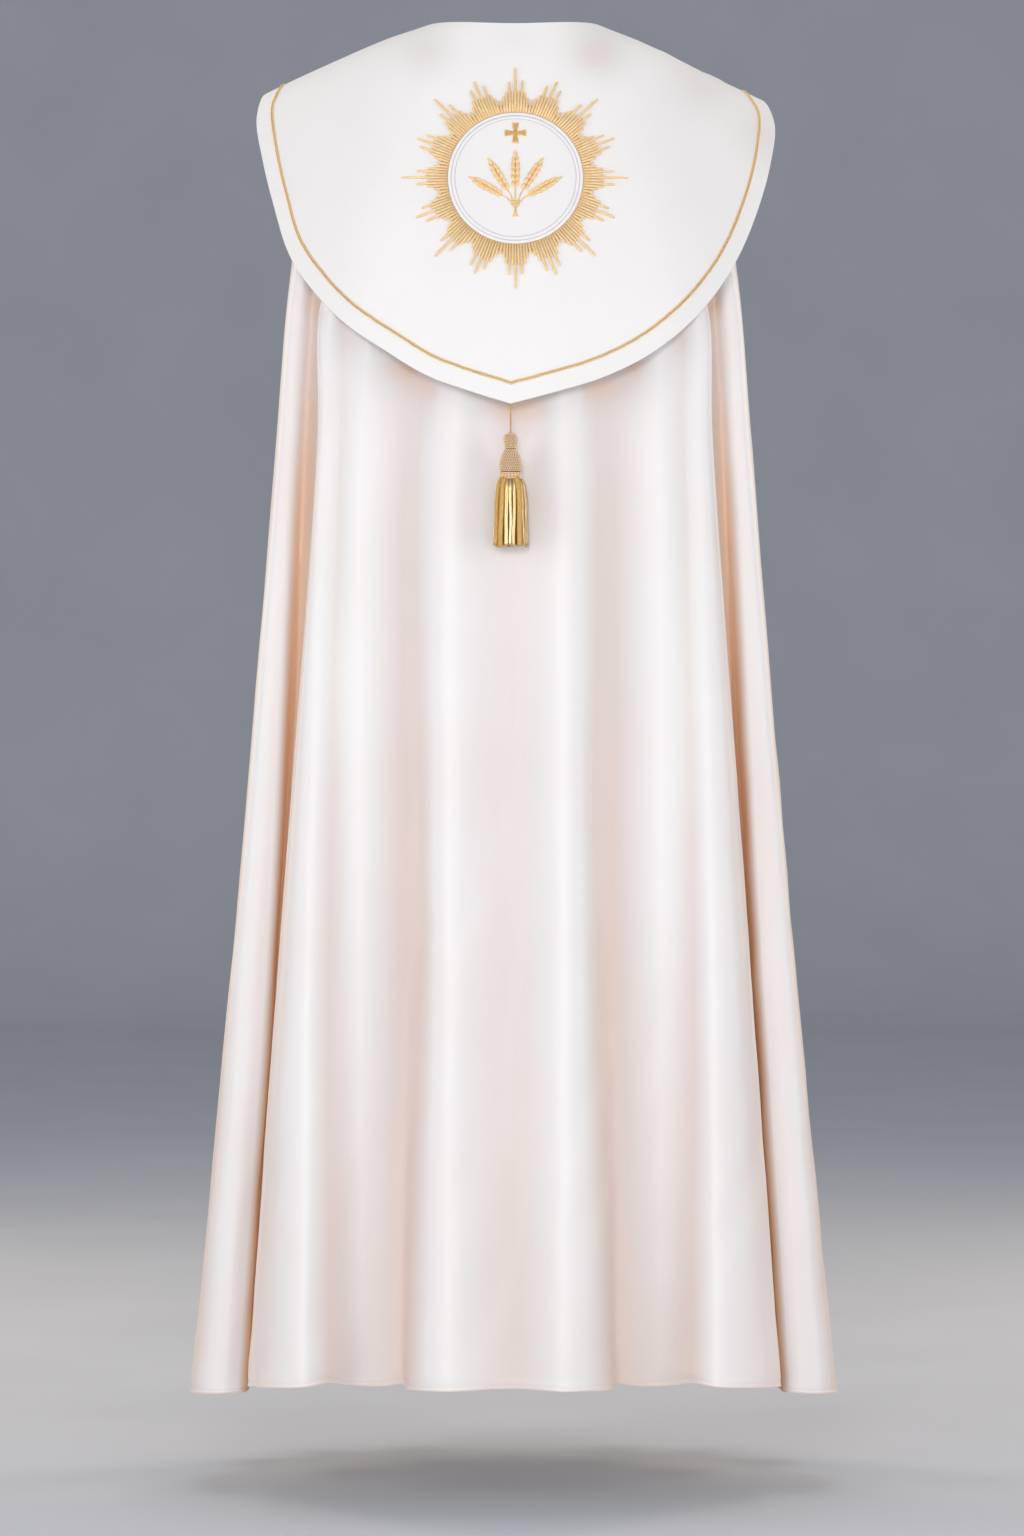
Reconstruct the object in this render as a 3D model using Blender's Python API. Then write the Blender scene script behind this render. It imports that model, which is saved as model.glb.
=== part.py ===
"""A cope: the ankle-length ceremonial cloak of a priest, with a stiff round hood on its back, a tassel at
the hood's point and a plain tab that fastens it on the chest.

Metres, +Z up. The wearer faces +Y, so the hood is on the -Y side and +X is the wearer's right. The origin is
the middle of the neck opening, at the height where neck and shoulders carry the cope.
Every cloth piece is one skin of points, worked out from a few sections and fold lines, with a Solidify
modifier for its wall."""

import math
from collections import namedtuple

import bmesh
import bpy
from mathutils import Vector
from mathutils.bvhtree import BVHTree

SEAM_GAP = 0.0008  # between two pieces that are sewn edge to edge
LAY_GAP = 0.0007  # under a piece that lies on another
EMBLEM_GAP = 0.0014  # under the emblem, which spans the facets of the hood
MANTLE_WALL = 0.002
HOOD_WALL = 0.0026
BUST_Z = -0.41
KNEE_Z = -0.90
HEM_Z = -1.411
MANTLE_CHORD = 0.024  # longest side of a facet along the hem
MIRROR = Vector((-1.0, 1.0, 1.0))

# The cloak from the neck edge to under the arms: oval sections, each higher on the shoulders than at the
# back and front. Sizes are from the origin.
Section = namedtuple("Section", "name half_width back front z_back z_side z_front roundness")
SECTIONS = (
    Section("neck", 0.0905, 0.068, 0.112, 0.0545, 0.0610, -0.097, 2.0),
    Section("collar", 0.116, 0.081, 0.126, 0.026, 0.0465, -0.120, 2.0),
    Section("slope", 0.158, 0.106, 0.142, -0.030, 0.027, -0.156, 2.0),
    Section("yoke", 0.194, 0.133, 0.156, -0.092, 0.005, -0.197, 2.0),
    Section("cap", 0.219, 0.152, 0.165, -0.150, -0.030, -0.238, 2.05),
    Section("arm", 0.237, 0.171, 0.170, -0.220, -0.108, -0.285, 2.2),
    Section("chest", 0.2455, 0.189, 0.174, -0.300, -0.215, -0.340, 2.4),
)

# The folds of the right half, from the middle of the back round to the front edge: where each fold line
# passes at bust, knee and hem as (x, y), how far its hem dips, and how the left half differs at the hem.
Fold = namedtuple("Fold", "name bust knee hem dip left_shift")
FOLDS = (
    Fold("centre_hollow", (0.004, -0.2030), (0.006, -0.222), (0.006, -0.240), 0.000, (0.000, 0.000)),
    Fold("centre_crest", (0.050, -0.2110), (0.054, -0.241), (0.056, -0.268), 0.001, (0.010, 0.001)),
    Fold("centre_edge", (0.094, -0.1985), (0.091, -0.220), (0.105, -0.240), 0.000, (0.001, 0.002)),
    Fold("recess_start", (0.110, -0.1915), (0.096, -0.197), (0.102, -0.198), 0.000, (-0.001, 0.000)),
    Fold("recess", (0.161, -0.1890), (0.157, -0.203), (0.143, -0.207), 0.001, (0.003, 0.002)),
    Fold("recess_end", (0.183, -0.1745), (0.190, -0.188), (0.186, -0.196), 0.000, (-0.002, -0.002)),
    Fold("side_crest", (0.196, -0.1710), (0.213, -0.200), (0.224, -0.230), 0.002, (-0.003, -0.003)),
    Fold("side_edge", (0.214, -0.1560), (0.246, -0.172), (0.280, -0.194), 0.003, (0.001, 0.003)),
    Fold("side_turn", (0.213, -0.1440), (0.244, -0.157), (0.278, -0.176), 0.003, (0.001, 0.003)),
    Fold("pleat", (0.206, -0.1220), (0.232, -0.116), (0.260, -0.110), 0.006, (0.000, 0.004)),
    Fold("fall_start", (0.222, -0.1060), (0.251, -0.090), (0.283, -0.076), 0.012, (-0.003, 0.000)),
    Fold("fall_crest", (0.244, -0.0950), (0.276, -0.104), (0.313, -0.110), 0.022, (0.003, -0.006)),
    Fold("fall_side", (0.2555, -0.0500), (0.300, -0.050), (0.349, -0.050), 0.024, (-0.001, 0.004)),
    Fold("arm_side", (0.254, 0.0000), (0.296, 0.006), (0.343, 0.010), 0.020, (0.002, 0.003)),
    Fold("arm_groove", (0.244, 0.0450), (0.276, 0.054), (0.305, 0.060), 0.014, (0.006, -0.006)),
    Fold("arm_crest", (0.232, 0.0850), (0.271, 0.112), (0.314, 0.137), 0.014, (-0.006, 0.008)),
    Fold("front_groove_1", (0.200, 0.1120), (0.224, 0.134), (0.247, 0.150), 0.008, (-0.004, 0.006)),
    Fold("front_crest_1", (0.176, 0.1450), (0.199, 0.190), (0.224, 0.230), 0.006, (0.007, -0.007)),
    Fold("front_groove_2", (0.135, 0.1550), (0.146, 0.179), (0.158, 0.195), 0.003, (0.004, 0.005)),
    Fold("front_crest_2", (0.100, 0.1740), (0.109, 0.215), (0.118, 0.252), 0.001, (-0.006, -0.004)),
    Fold("front_groove_3", (0.064, 0.1690), (0.071, 0.194), (0.079, 0.214), 0.000, (0.003, 0.004)),
    Fold("front_edge", (0.032, 0.1770), (0.039, 0.207), (0.047, 0.236), 0.000, (0.002, -0.003)),
)
LEVELS = (("bust", BUST_Z, 0.0), ("knee", KNEE_Z, 0.5), ("hem", HEM_Z, 1.0))
SEAM_FOLD = "pleat"  # the side seams lie at the bottom of this fold
# Facets between one section and the next, from the neck to the hem.
MANTLE_STEPS = (1, 1, 2, 2, 1, 1, 1, 2, 2)

# The hood's right half, as ribs that run from the neck edge to its rim: the rib's direction at the neck
# (0 at the nape, 90 on the shoulder), the point that bends it, and its end on the rim.
Rib = namedtuple("Rib", "name neck_deg bend rim")
HOOD_NECK = Section("hood neck", 0.0946, 0.0718, 0.1160, 0.0555, 0.0622, -0.0850, 2.0)
RIBS = (
    Rib("point", 0, (0.000, -0.174, -0.085), (-0.0035, -0.232, -0.370)),
    Rib("point_side", 11, (0.022, -0.174, -0.082), (0.045, -0.228, -0.357)),
    Rib("lower", 22, (0.048, -0.173, -0.074), (0.0935, -0.220, -0.336)),
    Rib("lower_curve", 33, (0.079, -0.171, -0.060), (0.138, -0.206, -0.311)),
    Rib("curve", 44, (0.113, -0.164, -0.040), (0.179, -0.185, -0.284)),
    Rib("side_low", 54, (0.146, -0.147, -0.020), (0.214, -0.154, -0.252)),
    Rib("side", 63, (0.177, -0.119, -0.001), (0.243, -0.114, -0.202)),
    Rib("side_high", 71, (0.203, -0.085, 0.010), (0.264, -0.078, -0.146)),
    Rib("wing_low", 78, (0.219, -0.049, 0.013), (0.279, -0.046, -0.093)),
    Rib("wing", 85, (0.225, -0.016, 0.013), (0.285, -0.016, -0.047)),
    Rib("wing_top", 93, (0.218, 0.012, 0.010), (0.278, 0.012, -0.017)),
    Rib("front_end", 102, (0.204, 0.042, 0.004), (0.262, 0.045, -0.030)),
)
BORDER_WIDTH = 0.022
HOOD_CORD_RADIUS = 0.0019
RIB_STEPS = 2  # facets between one rib and the next
SHIELD_STEPS, BORDER_STEPS = 8, 2  # facets down a rib, and across the border

# The round emblem on the hood, seen square on from behind.
EMBLEM_X, EMBLEM_Z = 0.0017, -0.1242
DISC_RADIUS = 0.0652
RING_INNER, RING_OUTER = 0.0656, 0.0720
RAY_INNER, RAY_VALLEY = 0.0726, 0.0860
RAY_TIPS = (0.1205, 0.1120) * 8  # long and short in turn, from the top
EMBLEM_WALL = 0.0010
CROSS_Z, CROSS_REACH, CROSS_BAR, CROSS_FLARE = 0.0490, 0.0122, 0.0036, 0.0048
EAR_LEANS = (-60.0, -31.0, 0.0, 31.0, 60.0)  # degrees from upright
EAR_FOOT_Z = -0.028
# Half widths of a stalk and its ear at heights above the tie.
EAR_SHAPE = (
    (0.006, 0.0007),
    (0.018, 0.0007),
    (0.025, 0.0048),
    (0.037, 0.0058),
    (0.050, 0.0036),
    (0.058, 0.0006),
)
TIE_HALF_WIDTH, TIE_HALF_HEIGHT = 0.0070, 0.0022
STALK_FOOT = 0.0140  # from the tie down to where the stalks are cut

TASSEL_X, TASSEL_Y = -0.0035, -0.2310
TASSEL_CORD_RADIUS = 0.0010
TASSEL_CORD_TOP, TASSEL_CORD_BOTTOM = -0.3708, -0.4010
TASSEL_SIDES = 16
# Turned pieces of the tassel, each (radius, z) from top to bottom.
KNOB = ((0.0030, -0.4013), (0.0064, -0.4040), (0.0073, -0.4085), (0.0062, -0.4135), (0.0046, -0.4180))
BULB = ((0.0048, -0.4183), (0.0088, -0.4240), (0.0114, -0.4320), (0.0117, -0.4370), (0.0106, -0.4420))
COLLAR = ((0.0112, -0.4423), (0.0121, -0.4455), (0.0122, -0.4495))
SKIRT = ((0.0124, -0.4498), (0.0147, -0.4530), (0.0168, -0.4780), (0.0200, -0.5213))

TAB_HALF_WIDTH = 0.062
TAB_TOP_Z, TAB_BOTTOM_Z = -0.135, -0.190
TAB_WALL = 0.003
TAB_SEAT_X = 0.038  # nearer the middle the tab spans the gap between the fronts
TAB_COLUMNS, TAB_ROWS = 10, 3

SATIN = ("satin", (0.86, 0.80, 0.74), 0.38, 0.0)
WHITE_SATIN = ("white_satin", (0.90, 0.88, 0.86), 0.42, 0.0)
GOLD_THREAD = ("gold_thread", (0.72, 0.50, 0.20), 0.40, 0.35)


def clear_scene():
    for obj in list(bpy.data.objects):
        bpy.data.objects.remove(obj)


def material(look):
    """The material of a look, a (name, colour, roughness, metallic) row."""
    name, colour, roughness, metallic = look
    made = bpy.data.materials.get(name)
    if made is None:
        made = bpy.data.materials.new(name)
        made.use_nodes = True
        shader = made.node_tree.nodes["Principled BSDF"]
        shader.inputs["Base Color"].default_value = (*colour, 1.0)
        shader.inputs["Roughness"].default_value = roughness
        shader.inputs["Metallic"].default_value = metallic
    return made


def link_mesh(name, mesh, look):
    mesh.materials.append(material(look))
    obj = bpy.data.objects.new(name, mesh)
    bpy.context.scene.collection.objects.link(obj)
    return obj


def skin_mesh(name, grid):
    """A grid of points as triangles that face out. Rows go down and columns to the right, seen from outside."""
    width = len(grid[0])
    faces = []
    for r in range(len(grid) - 1):
        for c in range(width - 1):
            a, b = r * width + c, r * width + c + 1
            faces += [(a, a + width, b + width), (a, b + width, b)]
    mesh = bpy.data.meshes.new(name)
    mesh.from_pydata([p for row in grid for p in row], [], faces)
    return mesh


def cloth(name, grid, look, wall, outwards=False):
    """A cloth piece on a grid of points that faces out: its wall lies inside the grid, or outside it."""
    obj = link_mesh(name, skin_mesh(name, grid), look)
    solidify = obj.modifiers.new("wall", "SOLIDIFY")
    solidify.thickness = wall
    solidify.offset = 1.0 if outwards else -1.0
    obj.data.shade_smooth()
    return obj


def on_curve(points, i, t):
    """A point on the smooth curve through points, at share t of the way from point i to the next."""
    before = points[i - 1] if i else 2 * points[0] - points[1]
    after = points[i + 2] if i + 2 < len(points) else 2 * points[-1] - points[-2]
    p = (before, points[i], points[i + 1], after)
    knots = [0.0]
    for a, b in zip(p, p[1:]):
        knots.append(knots[-1] + math.sqrt((b - a).length))
    at = knots[1] + (knots[2] - knots[1]) * t

    def mix(a, b, start, end):
        return a + (b - a) * ((at - start) / (end - start))

    first = [mix(p[k], p[k + 1], knots[k], knots[k + 1]) for k in range(3)]
    second = [mix(first[k], first[k + 1], knots[k], knots[k + 2]) for k in range(2)]
    return mix(second[0], second[1], knots[1], knots[2])


def steps_between(counts):
    """(interval, share) of every sample along a curve, with counts[i] steps in interval i."""
    found = [(i, k / n) for i, n in enumerate(counts) for k in range(n)]
    return found + [(len(counts) - 1, 1.0)]


def section_point(section, degrees):
    """The point of an oval section in a direction: 0 is the middle of the back, 90 the wearer's right."""
    turn = math.radians(degrees)
    across, along = abs(math.sin(turn)), abs(math.cos(turn))
    at_back = math.cos(turn) > 0
    depth = section.back if at_back else section.front
    n = section.roundness
    reach = ((across / section.half_width) ** n + (along / depth) ** n) ** (-1 / n)
    end_z = section.z_back if at_back else section.z_front
    z = section.z_side + (end_z - section.z_side) * along**2
    return Vector((reach * math.sin(turn), -reach * math.cos(turn), z))


def mantle_keys():
    """Rows of points from the neck to the hem, each with one point for every fold line, from the left front
    edge round the back to the right front edge."""
    turns = [math.degrees(math.atan2(f.bust[0], -f.bust[1])) for f in FOLDS]
    right = [[section_point(s, turn) for turn in turns] for s in SECTIONS]
    left = [[p * MIRROR for p in row] for row in right]
    for level, z, share in LEVELS:
        rights, lefts = [], []
        for fold in FOLDS:
            x, y = getattr(fold, level)
            out, on = fold.left_shift
            rights.append(Vector((x, y, z - fold.dip * share)))
            lefts.append(Vector((-x - out * share, y + on * share, z - fold.dip * share)))
        right.append(rights)
        left.append(lefts)
    return [lefts[:0:-1] + rights for lefts, rights in zip(left, right)]


def mantle_surface():
    """The whole cloak's grid of points, and the two columns where the side seams run."""
    keys = mantle_keys()
    lines = list(zip(*keys))
    hem = keys[-1]
    counts = [max(1, round((b - a).length / MANTLE_CHORD)) for a, b in zip(hem, hem[1:])]
    columns = steps_between(counts)
    grid = []
    for row, share in steps_between(MANTLE_STEPS):
        points = [on_curve(line, row, share) for line in lines]
        grid.append([on_curve(points, i, t) for i, t in columns])
    names = [f.name for f in FOLDS]
    middle, seam = len(FOLDS) - 1, names.index(SEAM_FOLD)
    return grid, [sum(counts[: middle + side * seam]) for side in (-1, 1)]


def pull_back(grid, column, inner):
    """Moves one edge column of a panel half a seam gap towards the column beside it."""
    for row in grid:
        row[column] = row[column] + (row[inner] - row[column]).normalized() * SEAM_GAP / 2


def panel(grid, first, last):
    return [[p.copy() for p in row[first : last + 1]] for row in grid]


def make_mantle():
    """The cloak is cut in three: the back, and a left and a right front that meet it in the side pleats."""
    grid, (left_seam, right_seam) = mantle_surface()
    left = panel(grid, 0, left_seam)
    back = panel(grid, left_seam, right_seam)
    right = panel(grid, right_seam, len(grid[0]) - 1)
    pull_back(left, -1, -2)
    pull_back(back, 0, 1)
    pull_back(back, -1, -2)
    pull_back(right, 0, 1)
    for name, points in (("mantle_back", back), ("mantle_left", left), ("mantle_right", right)):
        cloth(name, points, SATIN, MANTLE_WALL)
    return grid


def hood_ribs():
    """(neck, bend, rim) points of every rib, from the left front end over the back to the right one."""
    right = [(section_point(HOOD_NECK, r.neck_deg), Vector(r.bend), Vector(r.rim)) for r in RIBS]
    left = [tuple(p * MIRROR for p in rib) for rib in right]
    return left[:0:-1] + right


def rib_point(rib, t):
    neck, bend, rim = rib
    return neck * (1 - t) ** 2 + bend * (2 * t * (1 - t)) + rim * t**2


def border_share(ribs, i):
    """The share along rib i at which the border starts, so that it is as wide everywhere, square to the rim."""
    rib = ribs[i]
    end = rib[2]
    rim_way = (ribs[min(i + 1, len(ribs) - 1)][2] - ribs[max(i - 1, 0)][2]).normalized()
    share = 1.0
    while (end - rib_point(rib, share)).cross(rim_way).length < BORDER_WIDTH:
        share -= 0.002
    return share


def hood_surface():
    """The hood's grid from the neck to the start of the border, and the border's own."""
    keys = hood_ribs()
    columns = steps_between([RIB_STEPS] * (len(keys) - 1))
    parts = list(zip(*keys))
    ribs = [tuple(on_curve(part, i, t) for part in parts) for i, t in columns]
    starts = [border_share(ribs, i) for i in range(len(ribs))]
    down = [k / SHIELD_STEPS for k in range(SHIELD_STEPS + 1)]
    shield = [[rib_point(rib, start * share) for rib, start in zip(ribs, starts)] for share in down]
    left = [1 - k / BORDER_STEPS for k in range(BORDER_STEPS + 1)]
    border = [[rib_point(rib, 1 - (1 - start) * share) for rib, start in zip(ribs, starts)] for share in left]
    return shield, border


def tube(name, points, radius, look):
    """A cord as a curve through points, with closed ends."""
    curve = bpy.data.curves.new(name, "CURVE")
    curve.dimensions = "3D"
    curve.bevel_depth = radius
    curve.bevel_resolution = 2
    curve.use_fill_caps = True
    spline = curve.splines.new("POLY")
    spline.points.add(len(points) - 1)
    for slot, point in zip(spline.points, points):
        slot.co = (*point, 1.0)
    curve.materials.append(material(look))
    obj = bpy.data.objects.new(name, curve)
    bpy.context.scene.collection.objects.link(obj)
    return obj


def make_hood():
    """The stiffened shield, the border round its rim and the gold cord that covers their seam."""
    shield, border = hood_surface()
    tree = skin_tree(shield)
    seam = shield[-1]
    shield[-1] = [p + (q - p).normalized() * SEAM_GAP / 2 for p, q in zip(seam, shield[-2])]
    border[0] = [p + (q - p).normalized() * SEAM_GAP / 2 for p, q in zip(seam, border[1])]
    cloth("hood_shield", shield, SATIN, HOOD_WALL)
    cloth("hood_border", border, SATIN, HOOD_WALL)
    lift = HOOD_CORD_RADIUS + LAY_GAP
    tube("hood_cord", [p + tree.find_nearest(p)[1] * lift for p in seam], HOOD_CORD_RADIUS, GOLD_THREAD)
    return tree


def skin_tree(grid):
    """A search tree of a grid of points, whose normals point out."""
    mesh = skin_mesh("search", grid)
    tree = BVHTree.FromPolygons([v.co for v in mesh.vertices], [tuple(p.vertices) for p in mesh.polygons])
    bpy.data.meshes.remove(mesh)
    return tree


def laid(tree, x, z, lift):
    """The point behind (x, z) that lies that far off the hood's outer face."""
    place, normal = tree.ray_cast(Vector((x, -1.0, z)), Vector((0.0, 1.0, 0.0)))[:2]
    return place + normal * lift


def emblem_grid(tree, rings, lift):
    """Rings of (right, up) offsets from the emblem's middle, laid on the hood."""
    return [[laid(tree, EMBLEM_X + x, EMBLEM_Z + z, lift) for x, z in ring] for ring in rings]


def circle(radius, count):
    """Closed ring of offsets, anticlockwise as seen from behind, so that its grid faces out."""
    turns = [math.tau * k / count for k in range(count + 1)]
    return [(-radius * math.sin(a), radius * math.cos(a)) for a in turns]


def closed_cloth(name, grid, look, wall):
    """A cloth piece whose last column meets its first, such as a ring or a disc."""
    obj = cloth(name, grid, look, wall, outwards=True)
    work = bmesh.new()
    work.from_mesh(obj.data)
    bmesh.ops.remove_doubles(work, verts=work.verts, dist=1e-5)
    work.to_mesh(obj.data)
    work.free()
    return obj


def make_emblem(tree):
    """A padded white ring round a white disc, with gold rays outside and a gold cross and sheaf inside."""
    first = EMBLEM_GAP
    disc_rings = [circle(DISC_RADIUS * share, 32) for share in (0.0, 0.35, 0.7, 1.0)]
    closed_cloth("emblem_disc", emblem_grid(tree, disc_rings, first), WHITE_SATIN, EMBLEM_WALL)
    ring_rings = [circle(r, 32) for r in (RING_INNER, RING_OUTER)]
    closed_cloth("emblem_ring", emblem_grid(tree, ring_rings, first), WHITE_SATIN, 2 * EMBLEM_WALL)
    rays = []
    for share in (0.0, 0.25, 0.5, 0.75, 1.0):
        ring = []
        for k in range(2 * len(RAY_TIPS) + 1):
            reach = RAY_VALLEY if k % 2 else RAY_TIPS[k // 2 % len(RAY_TIPS)]
            radius = RAY_INNER + (reach - RAY_INNER) * share
            turn = math.pi * k / len(RAY_TIPS)
            ring.append((-radius * math.sin(turn), radius * math.cos(turn)))
        rays.append(ring)
    closed_cloth("emblem_rays", emblem_grid(tree, rays, first), GOLD_THREAD, EMBLEM_WALL)
    on_disc = first + EMBLEM_WALL + LAY_GAP
    make_cross(tree, on_disc)
    make_sheaf(tree, on_disc)


def make_cross(tree, lift):
    """A small cross with flared arms: an upright strip, with an arm joined to each side of its middle."""
    bar, flare, reach = CROSS_BAR, CROSS_FLARE, CROSS_REACH
    outline = []
    for quarter in range(4):
        turn = math.radians(90 * quarter)
        for x, z in ((-flare, reach), (flare, reach), (bar, bar)):
            outline.append((x * math.cos(turn) + z * math.sin(turn), z * math.cos(turn) - x * math.sin(turn)))
    work = bmesh.new()
    verts = [work.verts.new(laid(tree, EMBLEM_X + x, EMBLEM_Z + CROSS_Z + z, lift)) for x, z in outline]
    middle = [verts[k] for k in (2, 5, 8, 11)]
    work.faces.new(middle)
    for k in range(4):
        work.faces.new((verts[3 * k - 1], verts[3 * k], verts[3 * k + 1], verts[3 * k + 2]))
    bmesh.ops.triangulate(work, faces=work.faces[:])
    bmesh.ops.recalc_face_normals(work, faces=work.faces[:])
    mesh = bpy.data.meshes.new("emblem_cross")
    if sum(f.normal.y for f in work.faces) > 0:
        bmesh.ops.reverse_faces(work, faces=work.faces[:])
    work.to_mesh(mesh)
    work.free()
    obj = link_mesh("emblem_cross", mesh, GOLD_THREAD)
    solidify = obj.modifiers.new("wall", "SOLIDIFY")
    solidify.thickness, solidify.offset = EMBLEM_WALL, 1.0


def leaning_strip(tree, lean, profile, lift):
    """Rows of a narrow strip, (distance along, half width), that leans about the foot of the sheaf."""
    along = (math.sin(math.radians(lean)), math.cos(math.radians(lean)))
    rows = []
    for distance, half_width in reversed(profile):
        rows.append(
            [
                laid(
                    tree,
                    EMBLEM_X + along[0] * distance + along[1] * half_width * side,
                    EMBLEM_Z + EAR_FOOT_Z + along[1] * distance - along[0] * half_width * side,
                    lift,
                )
                for side in (-1, 1)
            ]
        )
    return rows


def make_sheaf(tree, lift):
    """Five ears of wheat, fanned out above the tie that binds them, and their cut stalks below it."""
    for number, lean in enumerate(EAR_LEANS, 1):
        ear = leaning_strip(tree, lean, EAR_SHAPE, lift)
        cloth(f"emblem_ear_{number}", ear, GOLD_THREAD, EMBLEM_WALL, outwards=True)
    waist = TIE_HALF_WIDTH / 2
    tie = ((-STALK_FOOT, TIE_HALF_WIDTH), (-TIE_HALF_HEIGHT, waist), (TIE_HALF_HEIGHT, waist))
    cloth("emblem_tie", leaning_strip(tree, 0.0, tie, lift), GOLD_THREAD, EMBLEM_WALL, outwards=True)


def turned(name, profile, look):
    """A solid turned about the tassel's axis from a profile of (radius, z), with flat ends."""
    work = bmesh.new()
    rings = []
    for radius, z in profile:
        ring = []
        for k in range(TASSEL_SIDES):
            turn = math.tau * k / TASSEL_SIDES
            x = TASSEL_X + radius * math.cos(turn)
            ring.append(work.verts.new((x, TASSEL_Y + radius * math.sin(turn), z)))
        rings.append(ring)
    for upper, lower in zip(rings, rings[1:]):
        for k in range(TASSEL_SIDES):
            work.faces.new((upper[k - 1], lower[k - 1], lower[k], upper[k]))
    work.faces.new(rings[0])
    work.faces.new(rings[-1])
    bmesh.ops.recalc_face_normals(work, faces=work.faces[:])
    mesh = bpy.data.meshes.new(name)
    work.to_mesh(mesh)
    work.free()
    mesh.shade_smooth()
    return link_mesh(name, mesh, look)


def make_tassel():
    """A gold tassel on a short cord below the hood's point."""
    ends = [Vector((TASSEL_X, TASSEL_Y, z)) for z in (TASSEL_CORD_TOP, TASSEL_CORD_BOTTOM)]
    tube("tassel_cord", [ends[0].lerp(ends[1], k / 5) for k in range(6)], TASSEL_CORD_RADIUS, GOLD_THREAD)
    for name, profile in (("knob", KNOB), ("bulb", BULB), ("collar", COLLAR), ("skirt", SKIRT)):
        turned(f"tassel_{name}", profile, GOLD_THREAD)


def make_tab(mantle_grid):
    """The plain cloth tab that holds the fronts together, sewn to the left one and hooked to the right."""
    middle = len(mantle_grid[0]) // 2
    left = skin_tree([row[:middle] for row in mantle_grid])
    right = skin_tree([row[middle:] for row in mantle_grid])
    grid = []
    for r in range(TAB_ROWS + 1):
        z = TAB_TOP_Z + (TAB_BOTTOM_Z - TAB_TOP_Z) * r / TAB_ROWS
        row = []
        for c in range(TAB_COLUMNS + 1):
            x = TAB_HALF_WIDTH * (1 - 2 * c / TAB_COLUMNS)
            seat_x = math.copysign(max(abs(x), TAB_SEAT_X), x)
            front = right if seat_x > 0 else left
            seat = front.ray_cast(Vector((seat_x, 1.0, z)), Vector((0.0, -1.0, 0.0)))[0]
            row.append(Vector((x, seat.y + LAY_GAP, z)))
        grid.append(row)
    cloth("morse_tab", grid, SATIN, TAB_WALL, outwards=True)


def main():
    clear_scene()
    mantle_grid = make_mantle()
    hood_tree = make_hood()
    make_emblem(hood_tree)
    make_tassel()
    make_tab(mantle_grid)


main()
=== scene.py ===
import math

import bpy
import numpy as np
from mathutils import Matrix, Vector
from mathutils.bvhtree import BVHTree


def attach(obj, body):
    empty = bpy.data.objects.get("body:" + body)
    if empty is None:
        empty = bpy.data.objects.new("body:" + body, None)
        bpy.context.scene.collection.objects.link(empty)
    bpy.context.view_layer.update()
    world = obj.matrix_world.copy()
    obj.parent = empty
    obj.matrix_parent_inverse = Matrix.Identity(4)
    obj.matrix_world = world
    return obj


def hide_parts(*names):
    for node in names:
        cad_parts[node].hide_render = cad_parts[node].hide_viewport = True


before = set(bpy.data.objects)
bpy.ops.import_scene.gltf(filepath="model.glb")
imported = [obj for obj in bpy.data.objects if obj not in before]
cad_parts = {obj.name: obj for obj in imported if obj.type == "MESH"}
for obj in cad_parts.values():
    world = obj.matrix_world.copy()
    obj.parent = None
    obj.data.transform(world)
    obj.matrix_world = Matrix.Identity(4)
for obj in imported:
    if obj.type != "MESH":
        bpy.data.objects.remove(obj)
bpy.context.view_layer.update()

# Camera: it stands level, 5 m behind the back of the cope and at half its height.
camera = bpy.data.objects.new("camera", bpy.data.cameras.new("camera"))
camera.location = (-0.002, -5.2, -0.754)
camera.rotation_euler = (math.radians(90), 0, 0)
camera.data.lens = 110.57
camera.data.clip_end = 200
bpy.context.collection.objects.link(camera)
bpy.context.scene.camera = camera


# Tassel cord: a thin gold cord laid up from two strands. It is sewn into the point of the hood, hangs
# straight down and runs on through the head of the tassel, where it is tied off.
CORD_X, CORD_Y = -0.0035, -0.2310
CORD_TOP_Z, CORD_END_Z = -0.3708, -0.4655
CORD_STRAND_RADIUS = 0.00056
CORD_PITCH = 0.0046
CORD_GOLD = (0.74, 0.47, 0.20)
CORD_GOLD_DARK = (0.46, 0.25, 0.09)


def add_mesh(name, points, faces, uvs=None):
    """A smooth mesh object at the origin. uvs gives one (u, v) for each corner of each face in turn."""
    mesh = bpy.data.meshes.new(name)
    mesh.from_pydata([tuple(p) for p in points], [], faces)
    if uvs is not None:
        mesh.uv_layers.new(name="cloth").data.foreach_set("uv", np.asarray(uvs, np.float32).ravel())
    mesh.shade_smooth()
    obj = bpy.data.objects.new(name, mesh)
    bpy.context.collection.objects.link(obj)
    return obj


def put_on(obj, material, slot, *nodes):
    """Gives a finished piece its material and puts it on the cope, in place of its plain CAD solids."""
    obj.data.materials.clear()
    obj.data.materials.append(material)
    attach(obj, "root")
    if nodes:
        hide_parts(*nodes)
    return obj


def run_lengths(line):
    """How far along a line each of its points is."""
    return np.concatenate([[0], np.cumsum(np.linalg.norm(np.diff(line, axis=0), axis=1))])


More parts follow.
